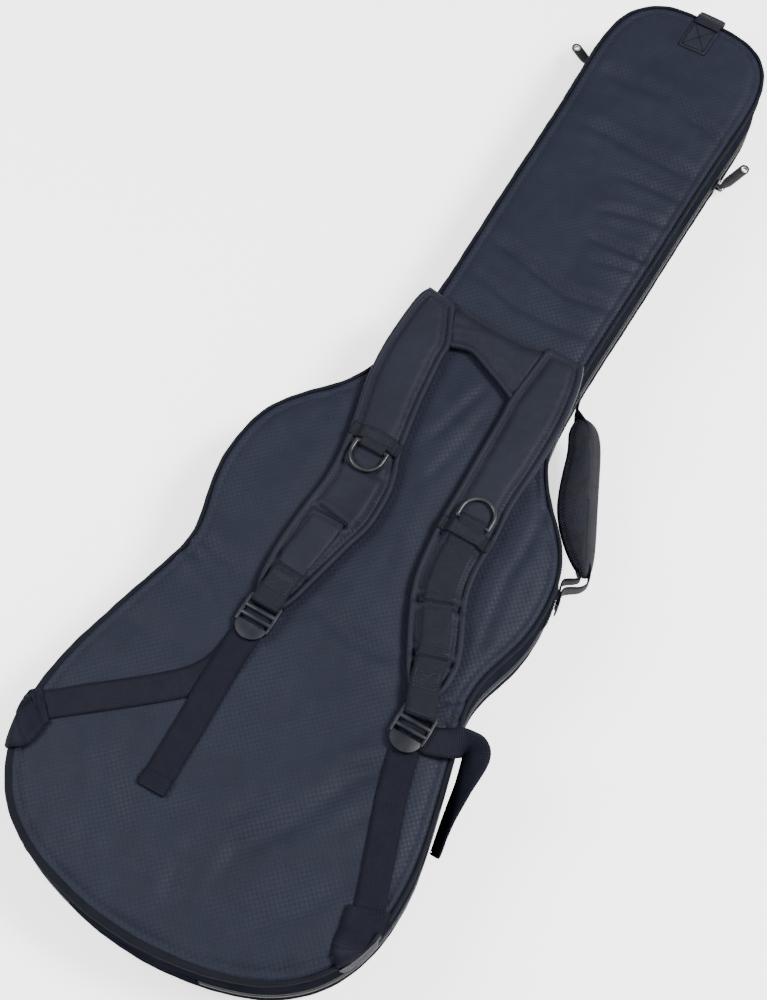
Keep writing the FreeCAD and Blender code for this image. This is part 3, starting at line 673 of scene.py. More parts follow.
def chain_loop(chains, spacing):
    """Closed loop of smooth chains joined by straight runs."""
    pts = []
    for c in chains:
        c = np.asarray(c, float)
        if len(c) > 2:
            L = np.linalg.norm(np.diff(c, axis=0), axis=1).sum()
            c = catmull(c, max(3, int(L / spacing)))
        pts.append(c)
    out = [pts[0]]
    for k in range(1, len(pts) + 1):
        a, b = out[-1][-1], pts[k % len(pts)][0]
        n = int(np.linalg.norm(b - a) / spacing)
        if n > 1:
            out.append(a + (b - a) * np.linspace(0, 1, n + 1)[1:-1, None])
        if k < len(pts):
            out.append(pts[k])
    p = np.vstack(out)
    area2 = (p[:, 0] * np.roll(p[:, 1], -1) - np.roll(p[:, 0], -1) * p[:, 1]).sum()
    return p if area2 > 0 else p[::-1]


def loop_dist(g, loop):
    """(signed distance inside, position along the loop of the nearest point)."""
    a = np.asarray(loop, float)
    b = np.roll(a, -1, 0)
    ab = b - a
    l2 = (ab ** 2).sum(1) + 1e-12
    seg = np.r_[0, np.cumsum(np.sqrt(l2))[:-1]]
    out = np.empty(len(g))
    pos = np.empty(len(g))
    for k in range(0, len(g), 3000):
        q = g[k:k + 3000]
        t = np.clip(((q[:, None] - a[None]) * ab[None]).sum(2) / l2, 0, 1)
        c = a[None] + t[..., None] * ab[None]
        d2 = ((q[:, None] - c) ** 2).sum(2)
        j = d2.argmin(1)
        dd = np.sqrt(d2[np.arange(len(q)), j])
        cond = (a[None, :, 1] > q[:, 1:2]) != (b[None, :, 1] > q[:, 1:2])
        xi = (b[None, :, 0] - a[None, :, 0]) * (q[:, 1:2] - a[None, :, 1]) / (b[None, :, 1] - a[None, :, 1] + 1e-12) + a[None, :, 0]
        inside = ((cond & (q[:, 0:1] < xi)).sum(1) % 2) == 1
        out[k:k + 3000] = np.where(inside, dd, -dd)
        pos[k:k + 3000] = seg[j] + t[np.arange(len(q)), j] * np.sqrt(l2[j])
    return out, pos


def line_dist(g, pts):
    """(distance, position along) from an open polyline."""
    a = np.asarray(pts, float)[:-1]
    b = np.asarray(pts, float)[1:]
    ab = b - a
    l2 = (ab ** 2).sum(1) + 1e-12
    seg = np.r_[0, np.cumsum(np.sqrt(l2))[:-1]]
    t = np.clip(((g[:, None] - a[None]) * ab[None]).sum(2) / l2, 0, 1)
    c = a[None] + t[..., None] * ab[None]
    d2 = ((g[:, None] - c) ** 2).sum(2)
    j = d2.argmin(1)
    i = np.arange(len(g))
    side = np.sign(ab[j, 0] * (g[:, 1] - a[j, 1]) - ab[j, 1] * (g[:, 0] - a[j, 0]))
    return np.sqrt(d2[i, j]), seg[j] + t[i, j] * np.sqrt(l2[j]), side


def loop_normals(p):
    t = np.roll(p, -1, 0) - np.roll(p, 1, 0)
    t /= np.linalg.norm(t, axis=1)[:, None] + 1e-12
    return np.c_[t[:, 1], -t[:, 0]]          # outward for a loop that runs anticlockwise


def tri_mesh(loop, rows, step):
    """(points, triangles, is_edge, distance, position) of the inside of a loop."""
    loop = np.asarray(loop, float)
    n = loop_normals(loop)
    pts = loop.tolist()
    for k, r in enumerate(rows):
        p = (loop - n * r)[(k % 2)::2] if r > 1.6 else (loop - n * r)
        d, _ = loop_dist(p, loop)
        p = p[d > r * 0.9]
        pts += p.tolist()
    last = (rows[-1] if len(rows) else 0) + step * 0.7
    lo, hi = loop.min(0), loop.max(0)
    xs = np.arange(lo[0], hi[0] + step, step)
    ys = np.arange(lo[1], hi[1] + step, step * 0.866)
    gx, gy = np.meshgrid(xs, ys)
    gx = gx + (np.arange(len(ys)) % 2)[:, None] * step / 2
    g = np.c_[gx.ravel(), gy.ravel()]
    d, _ = loop_dist(g, loop)
    g = g[d > last]
    pts += g.tolist()
    m = len(loop)
    v2, e2, f2, ov, oe, of = delaunay_2d_cdt([Vector(p) for p in pts], [(i, (i + 1) % m) for i in range(m)], [], 1, 1e-5)
    P = np.array([(v.x, v.y) for v in v2])
    edge = np.array([any(i < m for i in o) if len(o) else False for o in ov])
    used = np.zeros(len(P), bool)
    for f in f2:
        used[list(f)] = True
    remap = np.cumsum(used) - 1
    F = [tuple(int(remap[i]) for i in f) for f in f2]
    P, edge = P[used], edge[used]
    d, pos = loop_dist(P, loop)
    d = np.where(edge, 0, np.maximum(d, 0))
    return P, F, edge, d, pos


def pad(name, loop, top, bottom, rows, step, body, mat, edge_z, replaces=(), padded=None, slot=None, uv_rot=0.0):
    """Closed soft piece with that plan outline: top(P, d, pos) and bottom(P, d, pos) give its two faces."""
    P, F, edge, d, pos = tri_mesh(loop, rows, step)
    n = len(P)
    zt, zb = top(P, d, pos), bottom(P, d, pos)
    ez = edge_z(P) if callable(edge_z) else np.full(n, float(edge_z))
    zt = np.where(edge, ez, zt)
    idx = np.cumsum(~edge) - 1
    bot_i = np.where(edge, np.arange(n), n + idx)
    V = np.vstack([np.c_[P, zt], np.c_[P, zb][~edge]])
    faces = list(F) + [tuple(int(bot_i[i]) for i in reversed(f)) for f in F]
    U = np.vstack([P, P[~edge]])
    if uv_rot:
        c, s = math.cos(uv_rot), math.sin(uv_rot)
        U = U @ np.array([[c, -s], [s, c]])
    ob = make(name, V, faces, body, mat, U, replaces=replaces)
    if padded is not None:
        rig.padded(ob, fill=padded)
    if slot:
        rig.slot(ob, slot)
    return ob


def ribbon(name, pts, side, width, thick, body, mat="web", n=60, replaces=(), drape=None, clear=0.25, wave=0.0, seed=1, slot="webbing", cols=7, closed_ends=True, sag=0.0):
    """Flat webbing along pts (centre line) with those width directions."""
    pts = np.asarray(pts, float)
    side = np.asarray(side, float)
    c = catmull(pts, n)
    k = np.r_[0, np.cumsum(np.linalg.norm(np.diff(pts, axis=0), axis=1))]
    # place of each control point along the smooth line
    ks = [np.argmin(((c - p) ** 2).sum(1)) for p in pts]
    ks = np.maximum.accumulate(np.array(ks, float) + np.arange(len(ks)) * 1e-6)
    w = np.full(len(pts), float(width)) if np.isscalar(width) else np.asarray(width, float)
    S = np.c_[tuple(np.interp(np.arange(n), ks, side[:, q]) for q in range(3))]
    W = np.interp(np.arange(n), ks, w)
    T = np.gradient(c, axis=0)
    T /= np.linalg.norm(T, axis=1)[:, None]
    S -= T * (S * T).sum(1)[:, None]
    S /= np.linalg.norm(S, axis=1)[:, None]
    N = np.cross(S, T)
    flip = N[:, 2].sum() < 0
    if flip:
        N = -N
    arc = np.r_[0, np.cumsum(np.linalg.norm(np.diff(c, axis=0), axis=1))]
    us = np.linspace(-0.5, 0.5, cols)
    h = thick / 2.0
    prof = [(u, h * (1.0 if abs(u) < 0.49 else 0.45)) for u in us] + [(u, -h * (1.0 if abs(u) < 0.49 else 0.45)) for u in us[::-1]]
    V, U = [], []
    for i in range(n):
        lift = 0
        if wave:
            lift = wave * math.sin(arc[i] / 31.0 + seed) + wave * 0.6 * math.sin(arc[i] / 13.0 + 2.1 * seed)
        for (u, q) in prof:
            edge_curl = -sag * (2 * u) ** 2
            V.append(c[i] + S[i] * u * W[i] + N[i] * (q + lift + edge_curl))
            U.append((u * W[i], arc[i]))
    V = np.array(V)
    if drape is not None:
        base = drape(V[:, :2])
        m = len(prof)
        bottom = np.tile(np.array([q < 0 for _, q in prof]), n)
        off = np.where(bottom, 0.0, thick)
        floor_z = base + clear + off
        V[:, 2] = np.where(np.isfinite(base), np.maximum(V[:, 2], floor_z), V[:, 2])
    m = len(prof)
    faces = grid_faces(n, m, close_m=True) + [tuple(range(m)), tuple(range((n - 1) * m, n * m))]
    ob = make(name, V, faces, body, mat, U, replaces=replaces)
    if slot:
        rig.slot(ob, slot)
    return ob


def tube(name, pts, r, body, mat, sides=8, replaces=(), closed=False, slot=None, squash_z=1.0):
    pts = np.asarray(pts, float)
    n = len(pts)
    if closed:
        T = np.roll(pts, -1, 0) - np.roll(pts, 1, 0)
    else:
        T = np.gradient(pts, axis=0)
    T /= np.linalg.norm(T, axis=1)[:, None] + 1e-12
    up = np.array([0, 0, 1.0])
    V, U = [], []
    arc = np.r_[0, np.cumsum(np.linalg.norm(np.diff(pts, axis=0), axis=1))]
    prev = None
    for i in range(n):
        a = np.cross(up, T[i])
        if np.linalg.norm(a) < 0.15:
            a = prev if prev is not None else np.cross([1.0, 0, 0], T[i])
        a = a / np.linalg.norm(a)
        b = np.cross(T[i], a)
        prev = a
        rr = r[i] if hasattr(r, "__len__") else r
        for k in range(sides):
            t = 2 * math.pi * k / sides
            V.append(pts[i] + a * math.cos(t) * rr + b * math.sin(t) * rr * squash_z)
            U.append((rr * t, arc[i]))
    faces = grid_faces(n, sides, close_n=closed, close_m=True)
    if not closed:
        faces += [tuple(range(sides)), tuple(range((n - 1) * sides, n * sides))]
    ob = make(name, V, faces, body, mat, U, replaces=replaces)
    if slot:
        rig.slot(ob, slot)
    return ob


def stitches(name, lines, body, pitch=4.4, length=3.1, r=0.42, mat="thread", lift=0.15):
    """Thread stitches lying along the lines (3-D polylines), one piece."""
    V, F, U = [], [], []
    for line in lines:
        line = np.asarray(line, float)
        L = np.linalg.norm(np.diff(line, axis=0), axis=1).sum()
        n = int(L / pitch)
        if n < 1:
            continue
        s = np.r_[0, np.cumsum(np.linalg.norm(np.diff(line, axis=0), axis=1))]

        def at(t):
            return np.array([np.interp(t, s, line[:, k]) for k in range(3)])
        for k in range(n):
            a, b = at(k * pitch + 0.4), at(k * pitch + 0.4 + length)
            d = b - a
            q = np.linalg.norm(d)
            if q < 0.3:
                continue
            d /= q
            sd = np.cross([0, 0, 1.0], d)
            sn = np.linalg.norm(sd)
            sd = sd / sn if sn > 1e-3 else np.array([1.0, 0, 0])
            up = np.cross(d, sd)
            base = len(V)
            V.append(a - up * 0.5)
            for f, rr in ((0.18, 1.0), (0.82, 1.0)):
                c = a + d * q * f + up * lift
                for t in range(5):
                    ang = 2 * math.pi * t / 5 + 0.3
                    V.append(c + sd * math.cos(ang) * r * rr + up * math.sin(ang) * r * rr * 0.8)
            V.append(b - up * 0.5)
            for t in range(5):
                t2 = (t + 1) % 5
                F.append((base, base + 1 + t2, base + 1 + t))
                F.append((base + 1 + t, base + 1 + t2, base + 6 + t2, base + 6 + t))
                F.append((base + 11, base + 6 + t, base + 6 + t2))
    V = np.array(V)
    return make(name, V, F, body, mat, V[:, :2])


def surf_line(pts2, fn, lift=0.0, spacing=2.0):
    p = np.asarray(pts2, float)
    L = np.linalg.norm(np.diff(p, axis=0), axis=1).sum()
    p = resample(p, max(2, int(L / spacing) + 1))
    return np.c_[p, fn(p) + lift]


# --------------------------------------------------------- strap and web plans
LEFT_OUT = [(-84, 107), (-88.5, 92), (-90, 70), (-90, 36), (-87, 6), (-81.5, -20), (-73, -54), (-68, -82),
            (-66.5, -108), (-68.5, -136), (-69.5, -168), (-68.5, -196), (-65.5, -216), (-60.5, -227)]
LEFT_IN = [(-33, -229), (-27.5, -214), (-24, -198), (-20, -180), (-14, -152), (-8, -126), (-8.5, -95),
           (-13, -74), (-20, -55), (-24.5, -34), (-30, -4), (-33.5, 22), (-36.2, 45), (-38.5, 66), (-54.8, 103)]
RIGHT_OUT = [(75, 107), (82, 84), (87, 50), (88.5, 13), (88, -17), (87, -41), (88, -62), (90, -84), (90, -104),
             (91.5, -124), (97, -146), (109, -172), (117, -193), (119, -212), (116.5, -229)]
RIGHT_IN = [(92.5, -238), (80, -220), (69.5, -201), (56, -174), (46, -148), (41, -120), (38, -90), (37.5, -62),
            (36.5, -32), (35.5, -4), (34.5, 26), (33.6, 48), (38.0, 107)]
YOKE = [(-53.5, 104), (-20, 101), (20, 101), (36.6, 106), (32.0, 47.5), (15, 53), (-7, 64), (-33.4, 70.5)]
LOOP_L = chain_loop([LEFT_OUT, LEFT_IN], 2.2)
LOOP_R = chain_loop([RIGHT_OUT, RIGHT_IN], 2.2)
Y_LOW = [(34.4, 42.0), (21.2, 49.2), (1.1, 58.1), (-12, 64.0), (-19.5, 66.0), (-28, 64.6), (-38.5, 61.0)]
LOOP_Y = chain_loop([[(-55.6, 104), (-20, 101.5), (20, 101.5), (38.6, 106)], Y_LOW], 2.2)
WEB_L = np.array([(-43.0, -60), (-42, -110), (-42, -150), (-45.5, -190), (-47.5, -229)])
WEB_R = np.array([(65.5, -76), (66.5, -120), (74, -155), (90, -190), (104.5, -236)])

# ------------------------------------------------------------- the back panel
# soft folds of the padded panel: (line, width, depth), a hollow with a raised flank beside it
FOLDS = [
    ([(66.2, 392.0), (3.9, 414.5), (-52.4, 411.0), (-70.9, 409.1)], 8, 1.6),
    ([(74.0, 343.4), (20.8, 343.0), (-23.6, 345.9), (-61.1, 344.1)], 7, 1.8),
    ([(75.1, 315.5), (36.7, 311.4), (5.2, 308.6)], 5, 1.4),
    ([(74.0, 282.5), (36.4, 275.2), (5.2, 263.2)], 5, 1.6),
    ([(77.5, 240.0), (47.1, 236.2), (13.5, 233.9)], 5.5, 2.2),
    ([(73.4, 225.3), (51.5, 218.6), (27.6, 211.4)], 4.5, 1.2),
    ([(72.2, 176.6), (27.2, 168.4), (-8.4, 174.5), (-38.4, 182.5), (-65.9, 185.6)], 6.5, 2.2),
    ([(74.6, 141.6), (23.0, 133.2), (-12.2, 134.6), (-44.4, 142.6), (-67.0, 145.5)], 6.5, 1.8),
    ([(74.0, 392.2), (53.2, 401.8), (38.7, 402.1)], 4, 1.3),
    ([(-30.7, -200.7), (19.6, -217.1), (80.0, -218.2)], 9, 1.9),
    ([(41.4, -444.0), (40.8, -416.0), (68.9, -373.6), (92.5, -317.2), (114.4, -294.2)], 10, 2.2),
    ([(18.6, -485.5), (8.1, -448.0), (17.9, -410.4), (43.0, -363.1)], 10, 1.5),
    ([(-146.4, -229.4), (-137.2, -219.2), (-116.9, -224.7)], 4.5, 2.4),
    ([(-133.2, -207.1), (-94.5, -213.5), (-70.2, -238.8)], 7, 1.5),
    ([(-108.5, -373.5), (-87.4, -414.5), (-57.5, -448.9), (-21.5, -478.2)], 14, 1.3),
    ([(77.6, -468.9), (110.4, -431.0), (133.6, -386.1)], 9, 1.2),
    ([(-117.0, -458.4), (-90.2, -468.3), (-62.2, -489.9)], 12, 0.8),
    ([(106.4, -7.1), (111.5, -35.0), (114.4, -74.6), (112.8, -105.4), (119.9, -151.4), (125.0, -191.3)], 5, 1.4),
    ([(116, -232), (131, -234), (146, -231)], 3.0, 2.0), ([(118, -229), (130, -220), (140, -214)], 3.0, 1.9), ([(119, -237), (132, -245), (140, -256)], 3.0, 1.7),
    ([(-8, -24), (2, 12), (12, 56)], 6, 1.5), ([(8, -66), (18, -20), (22, 34)], 6, 1.2), ([(22, -150), (8, -110), (-2, -62)], 11, 1.3),
    ([(-130, -150), (-118, -100), (-100, -60)], 16, 0.9), ([(-150, -300), (-100, -298), (-60, -292)], 15, 0.9),
    ([(-96, -60), (-112, -20), (-104, 8)], 8, 0.9)]
RIDGES = [([(56.4, 495.6), (68.7, 454.0), (71.7, 396.9)], 5.5, 1.3), ([(-67, 480), (-72, 440), (-71, 380)], 6.0, 0.6),
          ([(40.7, -364.5), (50.7, -333.5), (104.8, -283.3)], 8, 1.2), ([(60.5, -447.0), (82.1, -405.4), (125.2, -345.3)], 8, 1.3),
          ([(-131.9, -233.7), (-103.4, -237.1), (-81.2, -252.6)], 5, 1.0)]


def rough_dist(P):
    return loop_dist(np.asarray(P, float)[:, :2], WP[::5])


def back_top(P, d=None, pos=None):
    """Height of the back panel's cloth at points (x, y)."""
    P = np.asarray(P, float)[:, :2]
    if d is None:
        d, pos = rough_dist(P)
        d = np.maximum(d - 1.0, 0)
    x, y = P[:, 0], P[:, 1]
    z = 71.4 + 3.4 * (1 - np.exp(-d / 6.0)) + 2.4 * (1 - np.exp(-d / 38.0))
    body = sstep((20 - y) / 120.0)
    z = z + 1.3 * body * (1 - np.exp(-d / 60.0))
    z = z + 1.0 * np.exp(-((d - 3.6) / 2.2) ** 2) - 1.45 * np.exp(-((d - 8.2) / 1.7) ** 2)       # roll at the binding, stitch line
    fade = sstep((d - 3) / 16.0)
    z = z + fade * (1.25 * fbm(x, y, 190, 3) + 0.6 * fbm(x, y, 75, 9) + 0.16 * fbm(x, y, 26, 21, 2))
    # puckers running in from the edge seam
    pk = 0.5 * np.sin(pos / 7.1 + 1.7 * np.sin(pos / 41.0)) + 0.35 * np.sin(pos / 3.4 + 2.3 * np.sin(pos / 23.0))
    z = z + 0.42 * pk * np.exp(-((d - 10) / 7.0) ** 2) * (0.55 + 0.45 * np.sin(pos / 67.0))
    for line, w, h in FOLDS:
        dist, s, side = line_dist(P, line)
        L = np.linalg.norm(np.diff(np.asarray(line, float), axis=0), axis=1).sum()
        ends = sstep(s / (0.22 * L) + 0.25) * sstep((L - s) / (0.22 * L) + 0.25)
        sd = dist * side
        z = z + ends * (-1.35 * h * np.exp(-(sd / (0.85 * w)) ** 2) + 0.8 * h * np.exp(-((np.abs(sd) - 1.7 * w) / (1.1 * w)) ** 2))
    for line, w, h in RIDGES:
        dist, s, side = line_dist(P, line)
        z = z + h * np.exp(-(dist / w) ** 2)
    return z


PRESS = []          # (loop, height at its edge) of what lies on the panel


def pressed(P, z):
    for loop, h, slope in PRESS:
        lo, hi = loop.min(0) - 40, loop.max(0) + 40
        m = (P[:, 0] > lo[0]) & (P[:, 0] < hi[0]) & (P[:, 1] > lo[1]) & (P[:, 1] < hi[1])
        if not m.any():
            continue
        dd, _ = loop_dist(P[m], loop)
        cap = h + slope * np.maximum(-dd, 0) ** 1.15
        zz = z[m]
        k = 0.7
        z[m] = -k * np.log(np.exp(-zz / k) + np.exp(-cap / k))
    return z


PRESS.append((LOOP_L[::3], 74.9, 0.10))
PRESS.append((LOOP_R[::3], 74.9, 0.10))
PRESS.append((LOOP_Y[::3], 74.9, 0.10))


def panel_top(P, d=None, pos=None):
    P = np.asarray(P, float)[:, :2].copy()
    return pressed(P, back_top(P, d, pos))


LOOP_BACK = (WP - ON * 1.0)[::2]
area2 = (LOOP_BACK[:, 0] * np.roll(LOOP_BACK[:, 1], -1) - np.roll(LOOP_BACK[:, 0], -1) * LOOP_BACK[:, 1]).sum()
if area2 < 0:
    LOOP_BACK = LOOP_BACK[::-1]
pad("back_panel", LOOP_BACK, panel_top, lambda P, d, pos: np.full(len(P), 62.0) + 0 * d, [1.2, 2.4, 3.6, 4.8, 6.0, 7.2, 8.2, 9.2, 10.6, 12.8], 4.0,
    "back_shell", "shell", 70.6, replaces=("back_outer", "back_foam"), padded=0.55, slot="shell_fabric")

# stitch line beside the back binding
inner = WP - ON * 9.2
stitches("panel_stitching", [np.c_[np.vstack([inner, inner[:1]])[::2], panel_top(np.vstack([inner, inner[:1]])[::2]) - 0.1]], "back_shell", pitch=4.6, length=3.3, r=0.4)


# ------------------------------------------------------------------ side walls
def wall_wave(n, zs, z0, z1, amp):
    """Soft bulge and waves of the side cloth at NP stations by the heights zs."""
    t = (np.asarray(zs, float) - z0) / (z1 - z0)
    env = np.clip(np.sin(np.pi * np.clip(t, 0, 1)), 0, 1) ** 0.7
    s = ARC[:NP, None]
    k = 2 * math.pi / ARC[-1]
    w = 0.6 * np.sin(round(31) * k * s + 0.9 + t * 2.4) + 0.45 * np.sin(53 * k * s + 2.2 - t * 3.3) + 0.3 * np.sin(97 * k * s + t * 5.0)
    # tighter gathers round the waist and the heads of the bouts
    curv = np.abs(np.gradient(np.unwrap(np.arctan2(ON[:, 1], ON[:, 0]))))
    curv = np.convolve(np.r_[curv, curv, curv], np.ones(41) / 41, "same")[NP:2 * NP]
    g = (np.clip(curv / 0.03, 0, 1))[:, None]
    w2 = g * (0.5 * np.sin(170 * k * s + t * 4) + 0.35 * np.sin(263 * k * s - t * 5))
    return env[None, :] * (2.1 * amp + (0.75 * w + 0.55 * w2) * amp)


def gusset_piece():
    zs = np.array([25.6, 27.5, 31, 36, 42, 48, 54, 60, 65, 69, 71.6])
    out = np.zeros((NP, len(zs) * 2, 2))
    off = wall_wave(NP, zs, 25.6, 71.6, 1.0)
    V = np.zeros((NP, 2 * len(zs), 3))
    U = np.zeros((NP, 2 * len(zs), 2))
    for j, z in enumerate(zs):
        o = off[:, j]
        V[:, j, :2] = WP + ON * o[:, None]
        V[:, j, 2] = z
        jj = 2 * len(zs) - 1 - j
        V[:, jj, :2] = WP + ON * (o[:, None] - 1.2)
        V[:, jj, 2] = z
        U[:, j] = np.c_[np.full(NP, z), ARC[:NP]]
        U[:, jj] = np.c_[np.full(NP, z + 60), ARC[:NP]]
    ob = make("back_side_wall", V.reshape(-1, 3), grid_faces(NP, 2 * len(zs), close_n=True, close_m=True), "back_shell", "side", U.reshape(-1, 2),
              replaces=("back_gusset",))
    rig.slot(ob, "side_nylon")
    return off, zs


WALL_OFF, WALL_Z = gusset_piece()


def wall_at(i, z):
    return np.interp(z, WALL_Z, WALL_OFF[i % NP])


BOT = (np.abs(OP[:, 0]) < 61.6) & (OP[:, 1] < -400)
arcp = [(-1.4, 27.5), (-4.6, 27.2), (-5.8, 28.6), (-6.0, 34), (-6.0, 44), (-6.0, 54), (-6.0, 60.2), (-1.4, 60.6)]
g = ring("side_padding", arcp, "back_shell", "lining", replaces=("gusset_foam",))
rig.slot(g, "lining")
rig.padded(g, 0.6)


def binding(name, zc, body, cad, flip=1):
    """Folded tape over the seam: round outside, its two edges lying on the panel and the wall."""
    prof = []
    for t in np.linspace(0, 2 * math.pi, 12, endpoint=False):
        r = 2.0 + 0.15 * math.cos(3 * t)
        prof.append((0.05 + r * math.cos(t) * 0.93, zc + r * math.sin(t)))
    prof = np.array(prof)
    m = len(prof)
    k = 2 * math.pi / ARC[-1]
    s = ARC[:NP]
    wob = 0.25 * np.sin(47 * k * s) + 0.18 * np.sin(119 * k * s + 1)
    V = np.zeros((NP, m, 3))
    U = np.zeros((NP, m, 2))
    per = np.arange(m) * (2 * math.pi * 2.0 / m)
    # painted shade: the dark tape is drawn wider at the lower-left bout, where the panel's edge turns over, to stand in
    # for the shadowed edge turned away from the light
    low = np.clip((-235 - WP[:, 1]) / 150, 0, 1)
    low = low * low * (3 - 2 * low)
    wide = 1 + (1.75 if flip > 0 else 0.0) * low * np.clip((150 - WP[:, 0]) / 120, 0, 1)
    for j in range(m):
        V[:, j, :2] = WP + ON * (np.where(prof[j, 0] < 0, prof[j, 0] * wide, prof[j, 0]) + 0.5 * wob)[:, None]
        V[:, j, 2] = prof[j, 1] + 0.5 * wob
        # the widened dark tape is lifted over the panel's edge there, part of the same painted shade
        if flip > 0 and prof[j, 0] < 0 and prof[j, 1] > zc - 0.5:
            over = panel_top(V[:, j, :2]) + 0.3 - V[:, j, 2]
            V[:, j, 2] += np.maximum(over, 0) * np.clip(3 * low, 0, 1)
        U[:, j] = np.c_[np.full(NP, per[j]), s]
    ob = make(name, V.reshape(-1, 3), grid_faces(NP, m, close_n=True, close_m=True), body, "binding", U.reshape(-1, 2), replaces=(cad,))
    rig.slot(ob, "binding")


binding("back_piping", 71.8, "back_shell", "back_binding")
binding("front_piping", 3.05, "front_shell", "front_binding", flip=-1)

zs = np.array([1.6, 4, 7, 10, 13, 16, 17.8])
offf = wall_wave(NP, zs, 1.6, 17.8, 0.45)
V = np.zeros((NP, 2 * len(zs), 3))
U = np.zeros((NP, 2 * len(zs), 2))
for j, z in enumerate(zs):
    V[:, j, :2] = WP + ON * offf[:, j][:, None]
    V[:, j, 2] = z
    V[:, -1 - j, :2] = WP - ON * 2.9
    V[:, -1 - j, 2] = z
    U[:, j] = np.c_[np.full(NP, z), ARC[:NP]]
    U[:, -1 - j] = np.c_[np.full(NP, z + 40), ARC[:NP]]
fg = make("front_side_wall", V.reshape(-1, 3), grid_faces(NP, 2 * len(zs), close_n=True, close_m=True), "front_shell", "side", U.reshape(-1, 2), replaces=("front_gusset",))
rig.slot(fg, "side_nylon")

# --------------------------------------------------------------------- zipper
NB = ~BOT
for nm, z0, z1, body, cad in (("zip_tape_front", 14.2, 20.5, "front_shell", "front_zip_tape"), ("zip_tape_back", 23.5, 29.8, "back_shell", "back_zip_tape")):
    zo = z1 if z0 < 20 else z0
    zi = z0 if z0 < 20 else z1
    sgn = 1 if zo < zi else -1
    prof = [(0.55, zi), (1.45, zi + 0.02), (1.7, zi - sgn * 0.8), (1.5, zo + sgn * 1.2), (1.3, zo), (0.2, zo), (0.3, zi)]
    t = ring(nm, prof, body, "tape", mask=NB, replaces=(cad,))
    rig.slot(t, "zip_tape")


def teeth(name, z0, body, cad, up):
    """Coil teeth: rounded loops side by side along the tape's edge."""
    idx = np.where(NB)[0]
    brk = np.where(np.diff(idx) > 1)[0]
    if len(brk):
        idx = np.r_[idx[brk[0] + 1:], idx[:brk[0] + 1]]
    p = WP[idx] + ON[idx] * 1.2
    nn = ON[idx]
    s = np.r_[0, np.cumsum(np.linalg.norm(np.diff(p, axis=0), axis=1))]
    pitch = 1.75
    n = int(s[-1] / pitch)
    q = np.arange(n) * pitch + pitch / 2
    C = np.c_[np.interp(q, s, p[:, 0]), np.interp(q, s, p[:, 1])]
    O = np.c_[np.interp(q, s, nn[:, 0]), np.interp(q, s, nn[:, 1])]
    O /= np.linalg.norm(O, axis=1)[:, None]
    Tn = np.c_[-O[:, 1], O[:, 0]]
    V = np.zeros((n, 8, 3))
    sec = [(0.9, 0.75), (1.35, 0), (0.9, -0.75), (-1.6, -0.55), (-1.6, 0.55)]
    tw = 0.5
    Vs, Fs = [], []
    for k in range(5):
        o, dz = sec[k]
        V1 = np.c_[C + O * o + Tn * tw, np.full(n, z0 + dz)]
        V2 = np.c_[C + O * o - Tn * tw, np.full(n, z0 + dz)]
        Vs.append(V1)
        Vs.append(V2)
    A = np.stack(Vs, 1)                         # n, 10, 3
    for i in range(n):
        b = i * 10
        for k in range(5):
            a, c = b + 2 * k, b + 2 * ((k + 1) % 5)
            Fs.append((a, a + 1, c + 1, c))
        Fs.append(tuple(b + 2 * k for k in range(5)))
        Fs.append(tuple(b + 2 * k + 1 for k in (4, 3, 2, 1, 0)))
    ob = make(name, A.reshape(-1, 3), Fs, body, "coil", smooth=False, replaces=(cad,))
    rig.slot(ob, "zip_coil")
    return ob


teeth("zip_coil_front", 21.1, "front_shell", "front_zip_teeth", 1)
teeth("zip_coil_back", 22.9, "back_shell", "back_zip_teeth", -1)

# bottom hinge cloth between the two shells
hz = np.linspace(14.0, 30.0, 15)
hprof = [(1.1 + 1.4 * math.sin(math.pi * (z - 14) / 16.0), z) for z in hz] + [(0.2 + 1.0 * math.sin(math.pi * (z - 14) / 16.0), z) for z in hz[::-1]]
hinge = ring("hinge_cloth", hprof, None, "side", mask=BOT, replaces=("hinge_strip",))
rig.slot(hinge, "side_nylon")
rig.blend(hinge, "front_shell", "back_shell", start=(0, -0.5225, 0.014), end=(0, -0.5225, 0.030))

# ------------------------------------------------------- linings, front panel
LOOP_FRONT = LOOP_BACK
rows_in = [1.5, 3.5, 6, 10]


def front_low(P, d, pos):
    x, y = P[:, 0], P[:, 1]
    return np.clip(0.0 + 2.9 * np.exp(-d / 4.0) + 0.25 * (1 + fbm(x, y, 90, 5)) * sstep(d / 20) * np.exp(-d / 60), 0.0, 9)


pad("front_panel", (WP - ON * 1.0)[::2][::-1] if area2 < 0 else (WP - ON * 1.0)[::2], lambda P, d, pos: np.full(len(P), 11.1), front_low, [1.5, 3, 5, 8, 12], 9.0,
    "front_shell", "shell", 3.4, replaces=("front_outer", "front_foam"), padded=0.6, slot="shell_fabric")

LOOP_FL = (WP - ON * 3.2)[::3]
LOOP_FL = LOOP_FL[::-1] if area2 < 0 else LOOP_FL


def lining_front(P, d, pos):
    x, y = P[:, 0], P[:, 1]
    z = 11.9 + 1.5 * (1 - np.exp(-d / 10.0)) + 0.5 * fbm(x, y, 120, 31) * sstep(d / 20) + 0.2 * fbm(x, y, 40, 32) * sstep(d / 20)
    return z - 0.9 * np.exp(-((d - 8) / 1.6) ** 2)


pad("front_inner_lining", LOOP_FL, lining_front, lambda P, d, pos: np.full(len(P), 11.25), [1.5, 3.5, 5.5, 7, 8, 9, 11], 6.5, "front_shell", "lining", 11.6,
    replaces=("front_lining",), padded=0.3, slot="lining")

LOOP_BL = (WP - ON * 6.3)[::3]
LOOP_BL = LOOP_BL[::-1] if area2 < 0 else LOOP_BL


